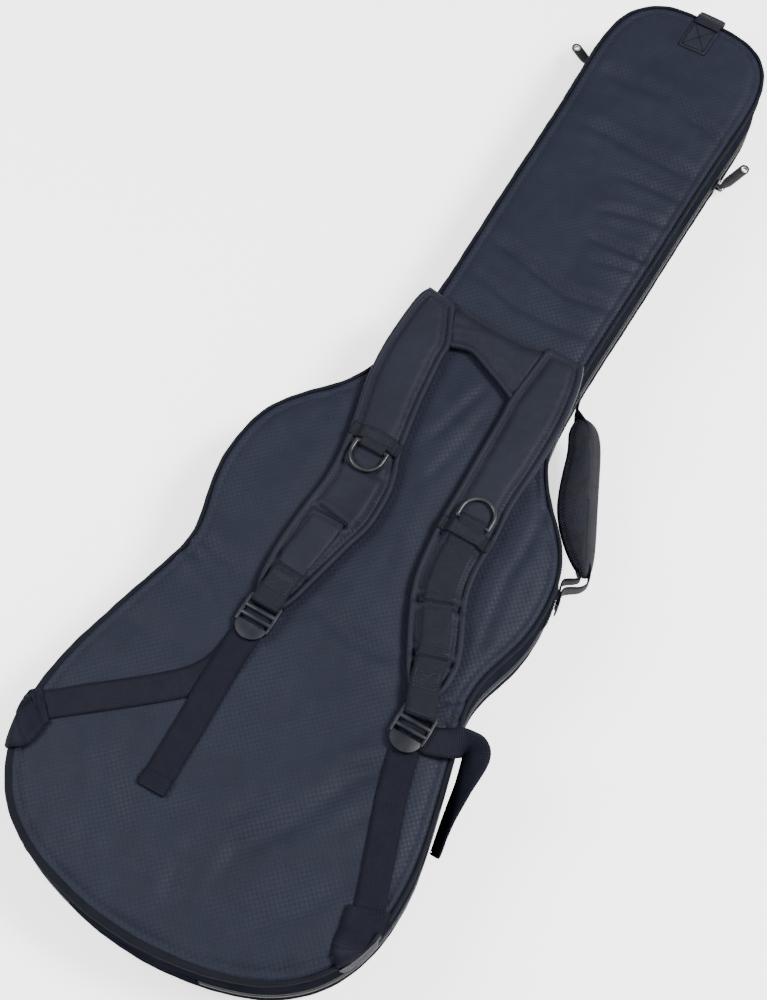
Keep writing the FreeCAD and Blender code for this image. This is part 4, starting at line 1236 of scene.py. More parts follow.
def lining_back(P, d, pos):
    x, y = P[:, 0], P[:, 1]
    z = 61.0 - 1.2 * (1 - np.exp(-d / 10.0)) + 0.45 * fbm(x, y, 120, 41) * sstep(d / 20) + 0.2 * fbm(x, y, 40, 42) * sstep(d / 20)
    return z + 0.8 * np.exp(-((d - 8) / 1.6) ** 2)


pad("back_inner_lining", LOOP_BL, lambda P, d, pos: np.full(len(P), 61.9), lining_back, [1.5, 3.5, 5.5, 7, 8, 9, 11], 6.5, "back_shell", "lining", 61.6,
    replaces=("back_lining",), padded=0.3, slot="lining")

for nm, loopp, body, fn, off in (("front_lining_stitching", WP - ON * 11.2, "front_shell", lining_front, 8.0), ("back_lining_stitching", WP - ON * 14.3, "back_shell", lining_back, 8.0)):
    q = np.vstack([loopp, loopp[:1]])[::2]
    zz = fn(q, np.full(len(q), off), np.zeros(len(q)))
    stitches(nm, [np.c_[q, zz]], body, pitch=5.2, length=3.7, r=0.4, lift=0.2 if body == "front_shell" else -0.2)


def rounded_rect(x0, x1, y0, y1, r, spacing=2.5):
    pts = []
    for cx, cy, a0 in ((x1 - r, y1 - r, 0), (x0 + r, y1 - r, 90), (x0 + r, y0 + r, 180), (x1 - r, y0 + r, 270)):
        for t in np.linspace(0, 90, 7):
            a = math.radians(a0 + t)
            pts.append((cx + r * math.cos(a), cy + r * math.sin(a)))
    p = np.array(pts + [pts[0]])
    n = int(np.linalg.norm(np.diff(p, axis=0), axis=1).sum() / spacing)
    return resample(p, n + 1)[:-1]


def block(name, loop, z0, z1, body, mat, r=5.0, crown=1.5, step=5.0, replaces=(), padded=0.7, slot=None, rows=(1, 2.2, 4, 6.5, 10)):
    """Rounded foam block with soft edges."""
    zm = (z0 + z1) / 2
    hh = (z1 - z0) / 2

    def prof(d):
        t = np.clip(d / r, 0, 1)
        return np.sqrt(np.clip(1 - (1 - t) ** 2, 0, 1))

    def top(P, d, pos):
        return zm + (hh - crown) * prof(d) + crown * (1 - np.exp(-d / 16.0))

    def bot(P, d, pos):
        return zm - (hh - crown) * prof(d) - crown * (1 - np.exp(-d / 16.0))
    return pad(name, loop, top, bot, list(rows), step, body, mat, zm, replaces=replaces, padded=padded, slot=slot)


# neck cradle: two upholstered blocks joined by a bridge, in one piece with the notch open below
def cradle():
    secs = []
    prof = [(-66, 31.8), (-60, 31.2), (-36, 31.2), (-31.5, 32.5), (-30.2, 37), (-30.2, 47), (-28, 51.2), (-24, 52.6), (0, 53), (24, 52.6), (28, 51.2),
            (30.2, 47), (30.2, 37), (31.5, 32.5), (36, 31.2), (60, 31.2), (66, 31.8), (67, 38), (67, 54), (65.4, 59.6), (60, 60.6), (30, 60.7), (0, 60.7),
            (-30, 60.7), (-60, 60.6), (-65.4, 59.6), (-67, 54), (-67, 38)]
    p = np.array(prof, float)
    p[:, 0] = np.clip(p[:, 0], -65.8, 65.8)
    q = np.vstack([p, p[:1]])
    s = resample(q, 161)[:-1]
    cx, cz = 0.0, 46.0
    ys, ins = [], []
    for t in np.linspace(0, math.pi / 2, 6):
        ys.append(62.0 + 5 * (1 - math.sin(t)))
        ins.append(5 * (1 - math.cos(t)))
    ys = ys[::-1]
    ins = ins[::-1]
    # inset rings at both ends, straight between them
    nrm = loop_normals(s if (s[:, 0] * np.roll(s[:, 1], -1) - np.roll(s[:, 0], -1) * s[:, 1]).sum() > 0 else s[::-1])
    if (s[:, 0] * np.roll(s[:, 1], -1) - np.roll(s[:, 0], -1) * s[:, 1]).sum() < 0:
        s = s[::-1]
        nrm = loop_normals(s)
    st = [(62.2, 3.4), (62.9, 1.8), (64.2, 0.8), (66, 0.25), (69, 0.0), (85, -0.0), (101, 0.0), (104, 0.25), (105.8, 0.8), (107.1, 1.8), (107.8, 3.4)]
    V, U = [], []
    per = np.r_[0, np.cumsum(np.linalg.norm(np.diff(s, axis=0), axis=1))]
    for y, o in st:
        a = s - nrm * o
        V.append(np.c_[a[:, 0], np.full(len(s), y), a[:, 1]])
        U.append(np.c_[per, np.full(len(s), y)])
    n = len(st)
    m = len(s)
    F = grid_faces(n, m, close_m=True)
    F.append(tuple(range(m)))
    F.append(tuple(range(n * m - 1, (n - 1) * m - 1, -1)))
    ob = make("neck_cradle_cover", np.vstack(V), F, "back_shell", "lining", np.vstack(U), replaces=("neck_cradle",))
    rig.padded(ob, 0.8)
    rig.slot(ob, "lining")


cradle()
ribbon("neck_strap_web", [(-68.6, 85, 40), (-67.4, 85, 30.2), (-60, 85, 27.6), (60, 85, 27.6), (67.4, 85, 30.2), (68.6, 85, 40)], [(0, 1, 0)] * 6, 25, 1.6, "back_shell", n=70, replaces=("neck_strap",))
m = (np.abs(WP[:, 0]) < 84) & (WP[:, 1] < -400)
ii = np.where(m)[0]
brk = np.where(np.diff(ii) > 1)[0]
if len(brk):
    ii = np.r_[ii[brk[0] + 1:], ii[:brk[0] + 1]]
lo, hi = (WP - ON * 6.4)[ii][::2], (WP - ON * 17.6)[ii][::2]
ep = np.vstack([lo, hi[::-1]])
if (ep[:, 0] * np.roll(ep[:, 1], -1) - np.roll(ep[:, 0], -1) * ep[:, 1]).sum() < 0:
    ep = ep[::-1]
q = np.vstack([ep, ep[:1]])
ep = resample(q, int(np.linalg.norm(np.diff(q, axis=0), axis=1).sum() / 2.0) + 1)[:-1]
block("end_bumper", ep, 28.2, 60.6, "back_shell", "lining", r=4.5, crown=0.4, step=3.0, replaces=("end_pad",), slot="lining", rows=(0.8, 1.8, 3.2))


# ---------------------------------------------------------------- yoke, straps
def strap_top(loop, web, pinches, xbox, top_y, tz=86.6):
    """Height function of a shoulder pad: rolled edge, groove for the stitches, crown,
    flanks standing up beside the webbing, hollows at the bar tacks."""
    def f(P, d, pos):
        P = np.asarray(P, float)[:, :2]
        x, y = P[:, 0], P[:, 1]
        roll = 81.9 + np.sqrt(np.clip(3.0 ** 2 - (d - 3.0) ** 2, 0, None))
        roll = np.where(d < 6.0, roll, 0)
        core = 81.3 + (tz - 81.3) * sstep((d - 5.6) / 8.0) + 0.9 * (1 - np.exp(-np.maximum(d - 10, 0) / 14.0))
        wd, ws, side = line_dist(P, web)
        onweb = (ws > 0.5)
        flank = 1.8 * np.exp(-((wd - 18.5) / 4.6) ** 2) * sstep((d - 6.0) / 4.0)
        low = sstep((-60 - y) / 25.0)
        core = core + flank * low - 0.9 * low * np.exp(-(wd / 13.0) ** 4)
        # cross creases of the soft foam
        core = core + 0.35 * fbm(x, y, 46, 51) * sstep((d - 5) / 6.0) + 0.14 * fbm(x, y, 16, 52) * sstep((d - 5) / 6.0)
        for (a, b, w, h) in pinches:
            dist, s, sd = line_dist(P, [a, b])
            core = core - h * np.exp(-(dist / w) ** 2) + 0.35 * h * np.exp(-((dist - 2.1 * w) / (1.2 * w)) ** 2)
            roll = roll - 0.45 * h * np.exp(-(dist / (1.3 * w)) ** 2) * (d < 6.0)
        z = np.maximum(roll, np.where(d > 3.0, core, 0))
        # pressed flat where it is sewn in at the top
        z = z - (z - 79.0) * 0.55 * sstep((y - (top_y - 9)) / 9.0)
        return z
    return f


def strap_bottom(P, d, pos):
    return 75.3 + 4.6 * (1 - np.sqrt(np.clip(1 - (1 - np.clip(d / 5.0, 0, 1)) ** 2, 0, 1)))


PIN_L = [((-58, -134), (-27, -139), 2.8, 4.6), ((-58, -196), (-32, -197), 2.2, 2.4), ((-62, -84), (-24, -84), 3.4, 2.0)]
PIN_R = [((55, -162.5), (97, -152.5), 2.8, 4.6), ((70, -206.5), (112, -198.5), 2.5, 4.0), ((46, -101), (88, -101), 3.2, 2.0)]
TOP_L = strap_top(LOOP_L, WEB_L, PIN_L, None, 107)
TOP_R = strap_top(LOOP_R, WEB_R, PIN_R, None, 107)
srows = [0.7, 1.5, 2.3, 3.1, 4.0, 4.9, 5.6, 6.2, 7.2, 8.8]
pad("shoulder_pad_left", LOOP_L, TOP_L, strap_bottom, srows, 2.6, "strap_left", "strap", 80.4, replaces=("strap_pad_left",), padded=0.7, slot="shell_fabric")
pad("shoulder_pad_right", LOOP_R, TOP_R, strap_bottom, srows, 2.6, "strap_right", "strap", 80.4, replaces=("strap_pad_right",), padded=0.7, slot="shell_fabric")


def top_at(fn, loop, P):
    P = np.asarray(P, float)[:, :2]
    d, pos = loop_dist(P, loop)
    return fn(P, np.maximum(d, 0), pos)


for nm, loop, fn, body in (("left", LOOP_L, TOP_L, "strap_left"), ("right", LOOP_R, TOP_R, "strap_right")):
    n = loop_normals(loop)
    p = loop - n * 6.0
    d, _ = loop_dist(p, loop)
    keep = d > 5.7
    lines, cur = [], []
    for i in range(len(p)):
        if keep[i]:
            cur.append(p[i])
        elif len(cur) > 3:
            lines.append(np.array(cur))
            cur = []
        else:
            cur = []
    if len(cur) > 3:
        lines.append(np.array(cur))
    lines = [np.c_[l, top_at(fn, loop, l) + 0.05] for l in lines]
    stitches("shoulder_stitching_" + nm, lines, body, pitch=3.9, length=2.8, r=0.4)

YL = LOOP_Y
Y_LINE = catmull(Y_LOW, 60)


def yoke_top(P, d, pos):
    P = np.asarray(P, float)[:, :2]
    x, y = P[:, 0], P[:, 1]
    dl = line_dist(P, Y_LINE)[0]                       # the piped edge is the lower one only
    roll = 80.8 + np.sqrt(np.clip(3.0 ** 2 - (dl - 2.9) ** 2, 0, None))
    roll = np.where(dl < 5.9, roll, 0) 
    core = 80.4 + 4.2 * sstep((dl - 5.5) / 9.0) + 0.6 * (1 - np.exp(-np.maximum(dl - 12, 0) / 10.0)) + 0.5 * fbm(x, y, 40, 61) * sstep((d - 5) / 6)
    core = core - 1.0 * np.exp(-d / 0.9)
    # folds running in from both ends
    for a, b, w, h in (((34, 58), (10, 68), 2.6, 1.3), ((35, 70), (16, 82), 2.4, 1.0), ((-42, 72), (-22, 80), 2.4, 1.1), ((-46, 84), (-28, 88), 2.4, 0.9), ((33, 50), (14, 60), 2.2, 0.7)):
        dist, s_, sd_ = line_dist(P, [a, b])
        core = core - h * np.exp(-(dist / w) ** 2) + 0.4 * h * np.exp(-((dist - 2.0 * w) / w) ** 2)
    z = np.maximum(roll, np.where(dl > 2.9, core, 0))
    # sewn flat at the top: two seams
    ty = np.interp(x, [-54.4, -20, 20, 37.2], [104, 101.3, 101.3, 106])
    q = ty - y
    z = np.where(q < 14, 77.4 + (z - 77.4) * sstep((q - 1.0) / 13.0) ** 0.9 * 0.95, z)
    z = z - 0.7 * np.exp(-((q - 3.0) / 1.0) ** 2) - 0.7 * np.exp(-((q - 8.5) / 1.0) ** 2)
    return z


pad("strap_yoke", YL, yoke_top, lambda P, d, pos: 75.3 + 3.5 * (1 - np.sqrt(np.clip(1 - (1 - np.clip(d / 4.5, 0, 1)) ** 2, 0, 1))), [0.9, 1.7, 2.4, 3.2, 4.0, 4.7, 5.6, 7.2], 2.6,
    "back_shell", "strap", 80.3, replaces=("yoke",), padded=0.6, slot="shell_fabric")
xs = np.linspace(-50, 34, 60)
ty = np.interp(xs, [-53.5, -20, 20, 36.6], [104, 101.3, 101.3, 106])
ylines = []
for off in (3.0, 8.5):
    l = np.c_[xs, ty - off]
    ylines.append(np.c_[l, top_at(yoke_top, YL, l) + 0.1])
low = Y_LINE[3:-3] + np.array([0.42, 0.90]) * 6.0
ylines.append(np.c_[low, top_at(yoke_top, YL, low) + 0.1])
stitches("yoke_stitching", ylines, "back_shell", pitch=4.0, length=2.9, r=0.42)


# ------------------------------------------------- webbing sewn along the straps
def on_strap(fn, loop, lift=0.0):
    def f(P):
        P = np.asarray(P, float)[:, :2]
        d, pos = loop_dist(P, loop)
        z = fn(P, np.maximum(d, 0.0), pos) + lift
        return np.where(d > 0.5, z, -np.inf)
    return f


SL, SR = on_strap(TOP_L, LOOP_L), on_strap(TOP_R, LOOP_R)


def sewn_web(name, line, fn, loop, pinches, body, cad, width=25.0, bow=2.2, inside=None, mat="web"):
    """Webbing that lies on the pad, held down at the bar tacks and bowed up between them."""
    c = catmull(line, 120)
    z = top_at(fn, loop, c)
    z = np.convolve(np.r_[[z[0]] * 4, z, [z[-1]] * 4], np.ones(9) / 9, "valid")
    T = np.gradient(c, axis=0)
    T /= np.linalg.norm(T, axis=1)[:, None]
    S = np.c_[T[:, 1], -T[:, 0]]
    arc = np.r_[0, np.cumsum(np.linalg.norm(np.diff(c, axis=0), axis=1))]
    us = np.linspace(-0.5, 0.5, 9)
    V, U = [], []
    held = np.ones(len(c))
    for a, b, w, h in pinches:
        dist, s, sd = line_dist(c, [a, b])
        held = np.minimum(held, 1 - np.exp(-(dist / (3.2 * w)) ** 2))
    for i in range(len(c)):
        base = z[i] + 0.25 + bow * held[i] * (0.75 + 0.25 * math.sin(arc[i] / 9.0))
        if inside is not None:                      # within the cover until it comes out at the first tack
            base -= (3.4 + bow) * (1 - float(sstep((inside - c[i][1]) / 4.0)))
        wide = width if inside is None else width * (1 + 0.13 * float(sstep((inside - c[i][1]) / 8.0)) * float(sstep((c[i][1] + 200.0) / 18.0)))
        for side_up in (1, 0):
            for u in (us if side_up else us[::-1]):
                p = c[i] + S[i] * u * wide
                edge = abs(u) > 0.49
                hgt = base - 0.5 * (2 * u) ** 2 * held[i]
                V.append((p[0], p[1], hgt + (1.6 - 0.35 * edge if side_up else 0.0 + 0.3 * edge)))
                U.append((u * width, arc[i]))
    m = 18
    F = grid_faces(len(c), m, close_m=True) + [tuple(range(m)), tuple(range((len(c) - 1) * m, len(c) * m))]
    ob = make(name, V, F, body, mat, U, replaces=(cad,) if cad else ())
    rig.slot(ob, "webbing")
    return c, z


CL, ZL_ = sewn_web("strap_webbing_left", WEB_L, TOP_L, LOOP_L, PIN_L, "strap_left", "strap_web_left", inside=-134.5, mat="strap")
CR, ZR_ = sewn_web("strap_webbing_right", WEB_R, TOP_R, LOOP_R, PIN_R, "strap_right", "strap_web_right")


def frame_at(c, i):
    t = c[min(i + 2, len(c) - 1)] - c[max(i - 2, 0)]
    t = t / np.linalg.norm(t)
    return t, np.array([t[1], -t[0]])


def bar_tacks(name, c, z, pinches, body, width=25.0):
    lines = []
    for a, b, w, h in pinches[:2]:
        dist, s, sd = line_dist(c, [a, b])
        i = int(dist.argmin())
        t, sdv = frame_at(c, i)
        for off in (-1.1, 0.0, 1.1):
            p = [c[i] + t * off + sdv * u * (width + 6) for u in (-0.5, 0.5)]
            lines.append(np.array([(q[0], q[1], z[i] + 2.15) for q in p]))
    stitches(name, lines, body, pitch=2.6, length=2.1, r=0.42)


bar_tacks("bar_tacks_left", CL, ZL_, PIN_L, "strap_left")
bar_tacks("bar_tacks_right", CR, ZR_, PIN_R, "strap_right")


# --------------------------------------------- X-box squares and the end loops
def end_loop(name, c, z, y_lo, y_hi, lock_c, lock_dir, body, cad, width=25.0):
    """Second layer of the webbing: sewn down in an X-box, then round the lock's first bar and back under."""
    i0 = int(np.argmin(np.abs(c[:, 1] - y_hi)))
    i1 = int(np.argmin(np.abs(c[:, 1] - y_lo)))
    t, sd = frame_at(c, (i0 + i1) // 2)
    zt = z[i0:i1 + 1].mean() + 2.6
    a, b = c[i0], c[i1]
    path = [(a[0], a[1], zt - 0.2), (*(a * 0.75 + b * 0.25), zt + 0.5), (*(a * 0.5 + b * 0.5), zt + 0.6), (*(a * 0.2 + b * 0.8), zt + 0.4)]
    L = np.array(lock_c)
    d = np.array(lock_dir)
    # round the bar, whose centre is L, in the plane of d and Z
    for ang in (115, 80, 45, 10, -25, -60, -95):
        q = math.radians(ang)
        r = 3.3
        path.append((L[0] + d[0] * r * math.cos(q), L[1] + d[1] * r * math.cos(q), L[2] + r * math.sin(q)))
    path += [(L[0] - d[0] * 5, L[1] - d[1] * 5, L[2] - 4.0), (L[0] - d[0] * 12, L[1] - d[1] * 12, L[2] - 4.6)]
    side = [(sd[0], sd[1], 0)] * 4 + [(d[1], -d[0], 0)] * 9
    ob = ribbon(name, path, side, width + 0.8, 1.5, body, n=80, replaces=(cad,))
    # the box and its cross, in thread
    w2 = width / 2 - 2.6
    mid = (a + b) / 2
    hl = np.linalg.norm(b - a) / 2 - 2.6
    tt = (b - a) / np.linalg.norm(b - a)
    ss = np.array([tt[1], -tt[0]])

    def P(u, v):
        q = mid + ss * u + tt * v
        return (q[0], q[1], zt + 1.35 - 0.0)
    lines = [[P(-w2, -hl), P(w2, -hl)], [P(w2, -hl), P(w2, hl)], [P(w2, hl), P(-w2, hl)], [P(-w2, hl), P(-w2, -hl)],
             [P(-w2, -hl), P(w2, hl)], [P(-w2, hl), P(w2, -hl)]]
    stitches(name + "_stitching", lines, body, pitch=2.7, length=2.1, r=0.42, mat="thread_x")
    return ob


# -------------------------------------------------------------- ladder locks
def smooth_piece(name, parts, body, mat, replaces=(), slot=None, M=None, bevel=0.6, segs=2, sub=0):
    """One moulded piece from several closed meshes (verts, faces), edges rounded by a bevel."""
    bm = bmesh.new()
    for verts, faces in parts:
        vs = [bm.verts.new(Vector(v)) for v in verts]
        for f in faces:
            try:
                bm.faces.new([vs[i] for i in f])
            except ValueError:
                pass
    bmesh.ops.recalc_face_normals(bm, faces=bm.faces)
    if bevel > 0:
        sharp = [e for e in bm.edges if len(e.link_faces) == 2 and e.calc_face_angle(0) > math.radians(38)]
        bmesh.ops.bevel(bm, geom=sharp, offset=bevel, segments=segs, profile=0.5, affect="EDGES", clamp_overlap=True)
    me = bpy.data.meshes.new(name)
    if M is not None:
        bmesh.ops.transform(bm, matrix=M, verts=bm.verts)
    bmesh.ops.scale(bm, vec=(0.001, 0.001, 0.001), verts=bm.verts)
    bm.to_mesh(me)
    bm.free()
    me.polygons.foreach_set("use_smooth", np.ones(len(me.polygons), dtype=bool))
    lay = me.uv_layers.new(name="mm")
    co = np.zeros(len(me.vertices) * 3)
    me.vertices.foreach_get("co", co)
    co = co.reshape(-1, 3) * 1000
    idx = np.zeros(len(me.loops), dtype=np.int64)
    me.loops.foreach_get("vertex_index", idx)
    lay.data.foreach_set("uv", co[idx][:, :2].astype(np.float32).ravel())
    me.materials.append(MAT[mat])
    ob = bpy.data.objects.new(name, me)
    bpy.context.scene.collection.objects.link(ob)
    if body:
        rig.ride(ob, body)
    if replaces:
        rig.replaces(ob, *replaces)
    if slot:
        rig.slot(ob, slot)
    return ob


def prism(loop, z0, z1):
    n = len(loop)
    v = [(p[0], p[1], z0) for p in loop] + [(p[0], p[1], z1) for p in loop]
    f = [tuple(range(n))[::-1], tuple(range(n, 2 * n))] + [(i, (i + 1) % n, n + (i + 1) % n, n + i) for i in range(n)]
    return v, f


def rod(p0, p1, r, sides=16, sz=1.0, caps=True):
    p0, p1 = np.array(p0, float), np.array(p1, float)
    d = (p1 - p0) / np.linalg.norm(p1 - p0)
    a = np.cross(d, [0, 0, 1.0])
    a /= np.linalg.norm(a)
    b = np.cross(d, a)
    v = []
    for p in (p0, p1):
        for k in range(sides):
            t = 2 * math.pi * (k + 0.5) / sides
            v.append(tuple(p + a * math.cos(t) * r + b * math.sin(t) * r * sz))
    f = [tuple(range(sides))[::-1], tuple(range(sides, 2 * sides))] + [(k, (k + 1) % sides, sides + (k + 1) % sides, sides + k) for k in range(sides)]
    return v, f


def bm_join(parts, boole_cut=None):
    return parts


def lock(name, cx, ytop, body, cad, ang=0.0):
    """Ladder lock: two side rails tied by round bars, and a half-moon thumb tab."""
    w, l, z0, z1 = 31.4, 26.0, 80.7, 86.1
    parts = []
    hw = w / 2
    # rails, thickened in the middle and rounded at the ends
    for sx in (-1, 1):
        loop = []
        xo, xi = hw, hw - 2.4
        pr = [(xi, 1.0), (xi + 0.6, 0.0), (xo - 1.2, 0.0), (xo - 0.2, -1.6), (xo, -6), (xo + 0.25, -13), (xo, -20), (xo - 0.3, -l + 0.2), (xo - 1.6, -l - 0.6), (xi + 0.2, -l - 0.4), (xi, -l + 0.8)]
        loop = [(sx * x, y) for x, y in pr]
        if sx < 0:
            loop = loop[::-1]
        parts.append(prism(loop, z0, z1))
    iw = hw - 2.2
    for y, r, sz, z in ((-1.9, 1.75, 1.0, 83.4), (-10.6, 2.35, 1.0, 83.9), (-18.0, 2.35, 1.0, 83.9)):
        parts.append(rod((-iw - 1, y, z), (iw + 1, y, z), r, 18, sz))
    # half-moon tab, tilted up a little at its end
    arcn = 26
    loop = [(-14.1, -23.6)]
    for k in range(arcn + 1):
        t = math.pi + math.pi * k / arcn
        loop.append((14.1 * math.cos(t), -24.2 + 13.6 * math.sin(t)))
    loop.append((14.1, -23.6))
    v, f = prism(loop, 81.9, 85.2)
    v = [(x, y, z + 0.09 * max(0, -24.0 - y)) for x, y, z in v]
    parts.append((v, f))
    M = Matrix.Translation((cx, ytop, 0)) @ Matrix.Rotation(math.radians(ang), 4, "Z")
    return smooth_piece(name, parts, body, "plastic", replaces=(cad,), slot="black_plastic", M=M, bevel=0.7, segs=2)


lock("ladder_lock_frame_left", -47.8, -229.4, "lock_left", "ladder_lock_left")
lock("ladder_lock_frame_right", 110.4, -246.6, "lock_right", "ladder_lock_right")
end_loop("strap_loop_left", CL, ZL_, -222.0, -198.0, (-47.8, -231.3, 83.4), (0, -1), "strap_left", "strap_end_loop_left")
end_loop("strap_loop_right", CR, ZR_, -232.0, -209.0, (110.0, -248.5, 83.4), (0.18, -0.98), "strap_right", "strap_end_loop_right")

# ------------------------------------------------------- D-rings and keepers
for nm in ("d_ring_left", "d_ring_right"):
    NODES[nm].data.materials.clear()
    NODES[nm].data.materials.append(MAT["metal"])
    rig.slot(NODES[nm], "black_metal")


def keeper_piece(side, cx, cy, up, body, fn, loop, cad, x_lo, x_hi):
    """Band across the pad with a short sleeve that holds the ring's bar."""
    zc = 86.2 + 0.4 + 3.3
    # band, lying over the webbing and tucked down to the pad at both ends
    cyb = cy + (10.6 if up > 0 else -10.6)
    xs = np.linspace(x_lo, x_hi, 41)
    rows = np.linspace(-6.6, 6.6, 7)
    base = {}
    V, U = [], []
    P = np.array([(cx + x, cyb + y) for x in xs for y in rows])
    zpad = top_at(fn, loop, P).reshape(len(xs), len(rows))
    zline = zpad.mean(1)
    for i, x in enumerate(xs):
        over = 2.6 * (1 - sstep((abs(x) - 12.0) / 7.0))
        z = zline[i] + 0.4 + over
        for s in (1, 0):
            for y in (rows if s else rows[::-1]):
                e = abs(y) > 6.5
                V.append((cx + x, cyb + y, z + (1.5 - 0.35 * e if s else 0.2 * e)))
                U.append((y, x))
    m = 2 * len(rows)
    F = grid_faces(len(xs), m, close_m=True) + [tuple(range(m)), tuple(range((len(xs) - 1) * m, len(xs) * m))]
    ob = make("ring_band_" + side, V, F, body, "web", U, replaces=(cad,))
    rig.slot(ob, "webbing")
    # sleeve round the bar
    sgn = 1 if up > 0 else -1
    path = [(cx, cy + sgn * 9.0, 88.7), (cx, cy + sgn * 5.0, 89.2)]
    for a in (70, 30, -10, -50):
        pass
    pts = [(cy + sgn * 10.5, 89.3), (cy + sgn * 5.5, 90.9), (cy + sgn * 2.0, 92.1), (cy - sgn * 1.2, 92.2), (cy - sgn * 2.9, 90.2), (cy - sgn * 2.2, 88.0), (cy + sgn * 0.5, 87.2), (cy + sgn * 5.0, 87.3), (cy + sgn * 9.5, 87.6)]
    ribbon("ring_sleeve_" + side, [(cx, y, z) for y, z in pts], [(1, 0, 0)] * len(pts), 23.5, 1.1, body, n=70)
    lines = []
    zt = zline[20] + 0.4 + 2.6 + 1.5
    for y in (-4.2, 4.2):
        lines.append([(cx - 12, cyb + y, zt), (cx + 12, cyb + y, zt)])
    for x in (x_lo + 4.5, x_hi - 4.5):
        zz = float(np.interp(x, xs, zline)) + 1.95
        lines.append([(cx + x, cyb - 5, zz), (cx + x, cyb + 5, zz)])
    stitches("ring_band_stitching_" + side, lines, body, pitch=2.7, length=2.0, r=0.4)


keeper_piece("left", -44.0, -64.0, 1, "strap_left", TOP_L, LOOP_L, "ring_keeper_left", -26.5, 21.5)
keeper_piece("right", 65.0, -81.0, -1, "strap_right", TOP_R, LOOP_R, "ring_keeper_right", -25.5, 23.0)

# -------------------------------------------- lower webbings, tails, anchors
def drape_panel(P):
    return panel_top(P)


lwl = ribbon("lower_webbing_left", [(-48.2, -243, 84.0), (-48.3, -252, 81.2), (-49.5, -268, 79.0), (-52.5, -292, 78.0), (-61, -312, 77.4), (-76, -330, 77), (-112, -360, 77), (-140, -383, 77), (-162, -401, 76.8)],
             [(1, 0, 0), (1, 0, 0), (1, 0, 0), (0.98, -0.2, 0), (0.85, -0.5, 0), (0.68, -0.74, 0), (0.65, -0.76, 0), (0.655, -0.756, 0), (0.655, -0.756, 0)],
             25, 1.6, None, n=110, replaces=("lower_web_left",), mat="weblow", drape=drape_panel, wave=0.25, seed=2)
lwr = ribbon("lower_webbing_right", [(110.8, -259, 83.8), (112, -268, 80.6), (116, -289, 78.5), (123.6, -316, 77.5), (136.5, -353, 77), (147.5, -384, 77), (157.5, -413, 77)],
             [(1, 0.05, 0), (1, 0.1, 0), (1, 0.24, 0), (1, 0.30, 0), (1, 0.35, 0), (1, 0.35, 0), (1, 0.36, 0)],
             25, 1.6, None, n=90, replaces=("lower_web_right",), mat="weblow", drape=drape_panel, wave=0.25, seed=4)


def drape_over_left(P):
    z = panel_top(P)
    dist, s, sd = line_dist(np.asarray(P, float)[:, :2], [(-48.3, -252), (-49.5, -268), (-52.5, -292), (-61, -312), (-76, -330), (-112, -360), (-162, -401)])
    return z + 2.0 * (1 - sstep((dist - 12.0) / 5.0))


twl = ribbon("webbing_tail_left", [(-47.5, -246, 80.2), (-48.2, -262, 80.6), (-48.4, -285, 80.2), (-47.8, -312, 79.6), (-46.3, -345, 79.0), (-44.8, -378, 78.6), (-43.8, -411, 78.4)],
             [(1, 0, 0), (1, 0.0, 0), (1, 0.0, 0.05), (1, 0, -0.04), (1, 0, 0.03), (1, 0, 0), (1, 0, 0)], 25, 1.6, None, n=100, replaces=("web_tail_left",), mat="weblow", drape=drape_over_left, wave=0.35, seed=7)
twr = ribbon("webbing_tail_right", [(119.0, -263.5, 80.9), (128.5, -263, 81.5), (141, -258, 82.0), (152, -251, 81.2), (160, -248, 77.6), (166, -254, 71.5), (168.5, -278, 63), (170.5, -305, 54), (174.5, -333, 46)],
             [(0.1, 1, 0), (0.1, 1, 0), (0.2, 1, 0), (0.42, 0.9, 0.2), (0.75, 0.6, 0.35), (0.85, 0.25, 0.45), (0.62, 0, 0.78), (0.45, 0, 0.9), (0.35, 0, 0.94)],
             [24, 24.5, 25, 25, 25, 25, 25, 25, 25], 1.6, None, n=120, replaces=("web_tail_right",), mat="weblow")
for ob, st, s0, s1 in ((lwl, "strap_left", (-0.160, -0.402, 0.076), (-0.0485, -0.251, 0.079)), (lwr, "strap_right", (0.155, -0.424, 0.076), (0.112, -0.262, 0.079)),
                       (twl, "strap_left", (-0.044, -0.412, 0.0786), (-0.0485, -0.265, 0.0798)), (twr, "strap_right", (0.1745, -0.333, 0.046), (0.130, -0.264, 0.080))):
    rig.blend(ob, "back_shell", st, start=s0, end=s1)


def tail_end(name, cx, cy, z, width, depth, dirv, body, normal=(0, 0, 1)):
    """Folded and sewn end of a webbing tail."""
    d = np.array(dirv, float)
    d /= np.linalg.norm(d)
    nrm = np.array(normal, float)
    nrm -= d * (nrm @ d)
    nrm /= np.linalg.norm(nrm)
    s = np.cross(d, nrm)
    c = np.array([cx, cy, z])
    path = [c - d * depth + nrm * 0.75, c - d * depth * 0.5 + nrm * 0.9, c - d * 0.8 + nrm * 0.8, c + d * 0.7, c - d * 0.8 - nrm * 0.8]
    ob = ribbon(name, path, [tuple(s)] * 5, width, 1.2, body, mat="weblow", n=40)
    ln = [[c - d * (depth - 2.5) + s * (width / 2 - 2) + nrm * 1.55, c - d * (depth - 2.5) - s * (width / 2 - 2) + nrm * 1.55],
          [c - d * (depth - 5.0) + s * (width / 2 - 2) + nrm * 1.6, c - d * (depth - 5.0) - s * (width / 2 - 2) + nrm * 1.6]]
    stitches(name + "_stitching", ln, body, pitch=2.7, length=2.0, r=0.4)


zt = float(panel_top(np.array([[-43.8, -405.0]]))[0]) + 2.2
tail_end("tail_fold_left", -43.8, -411.5, zt, 25.6, 13.0, (0.03, -1, 0), "back_shell")
tail_end("tail_fold_right", 174.8, -334.5, 45.4, 25.6, 13.0, (0.12, -0.93, -0.26), "back_shell", normal=(0.9, 0.25, -0.3))


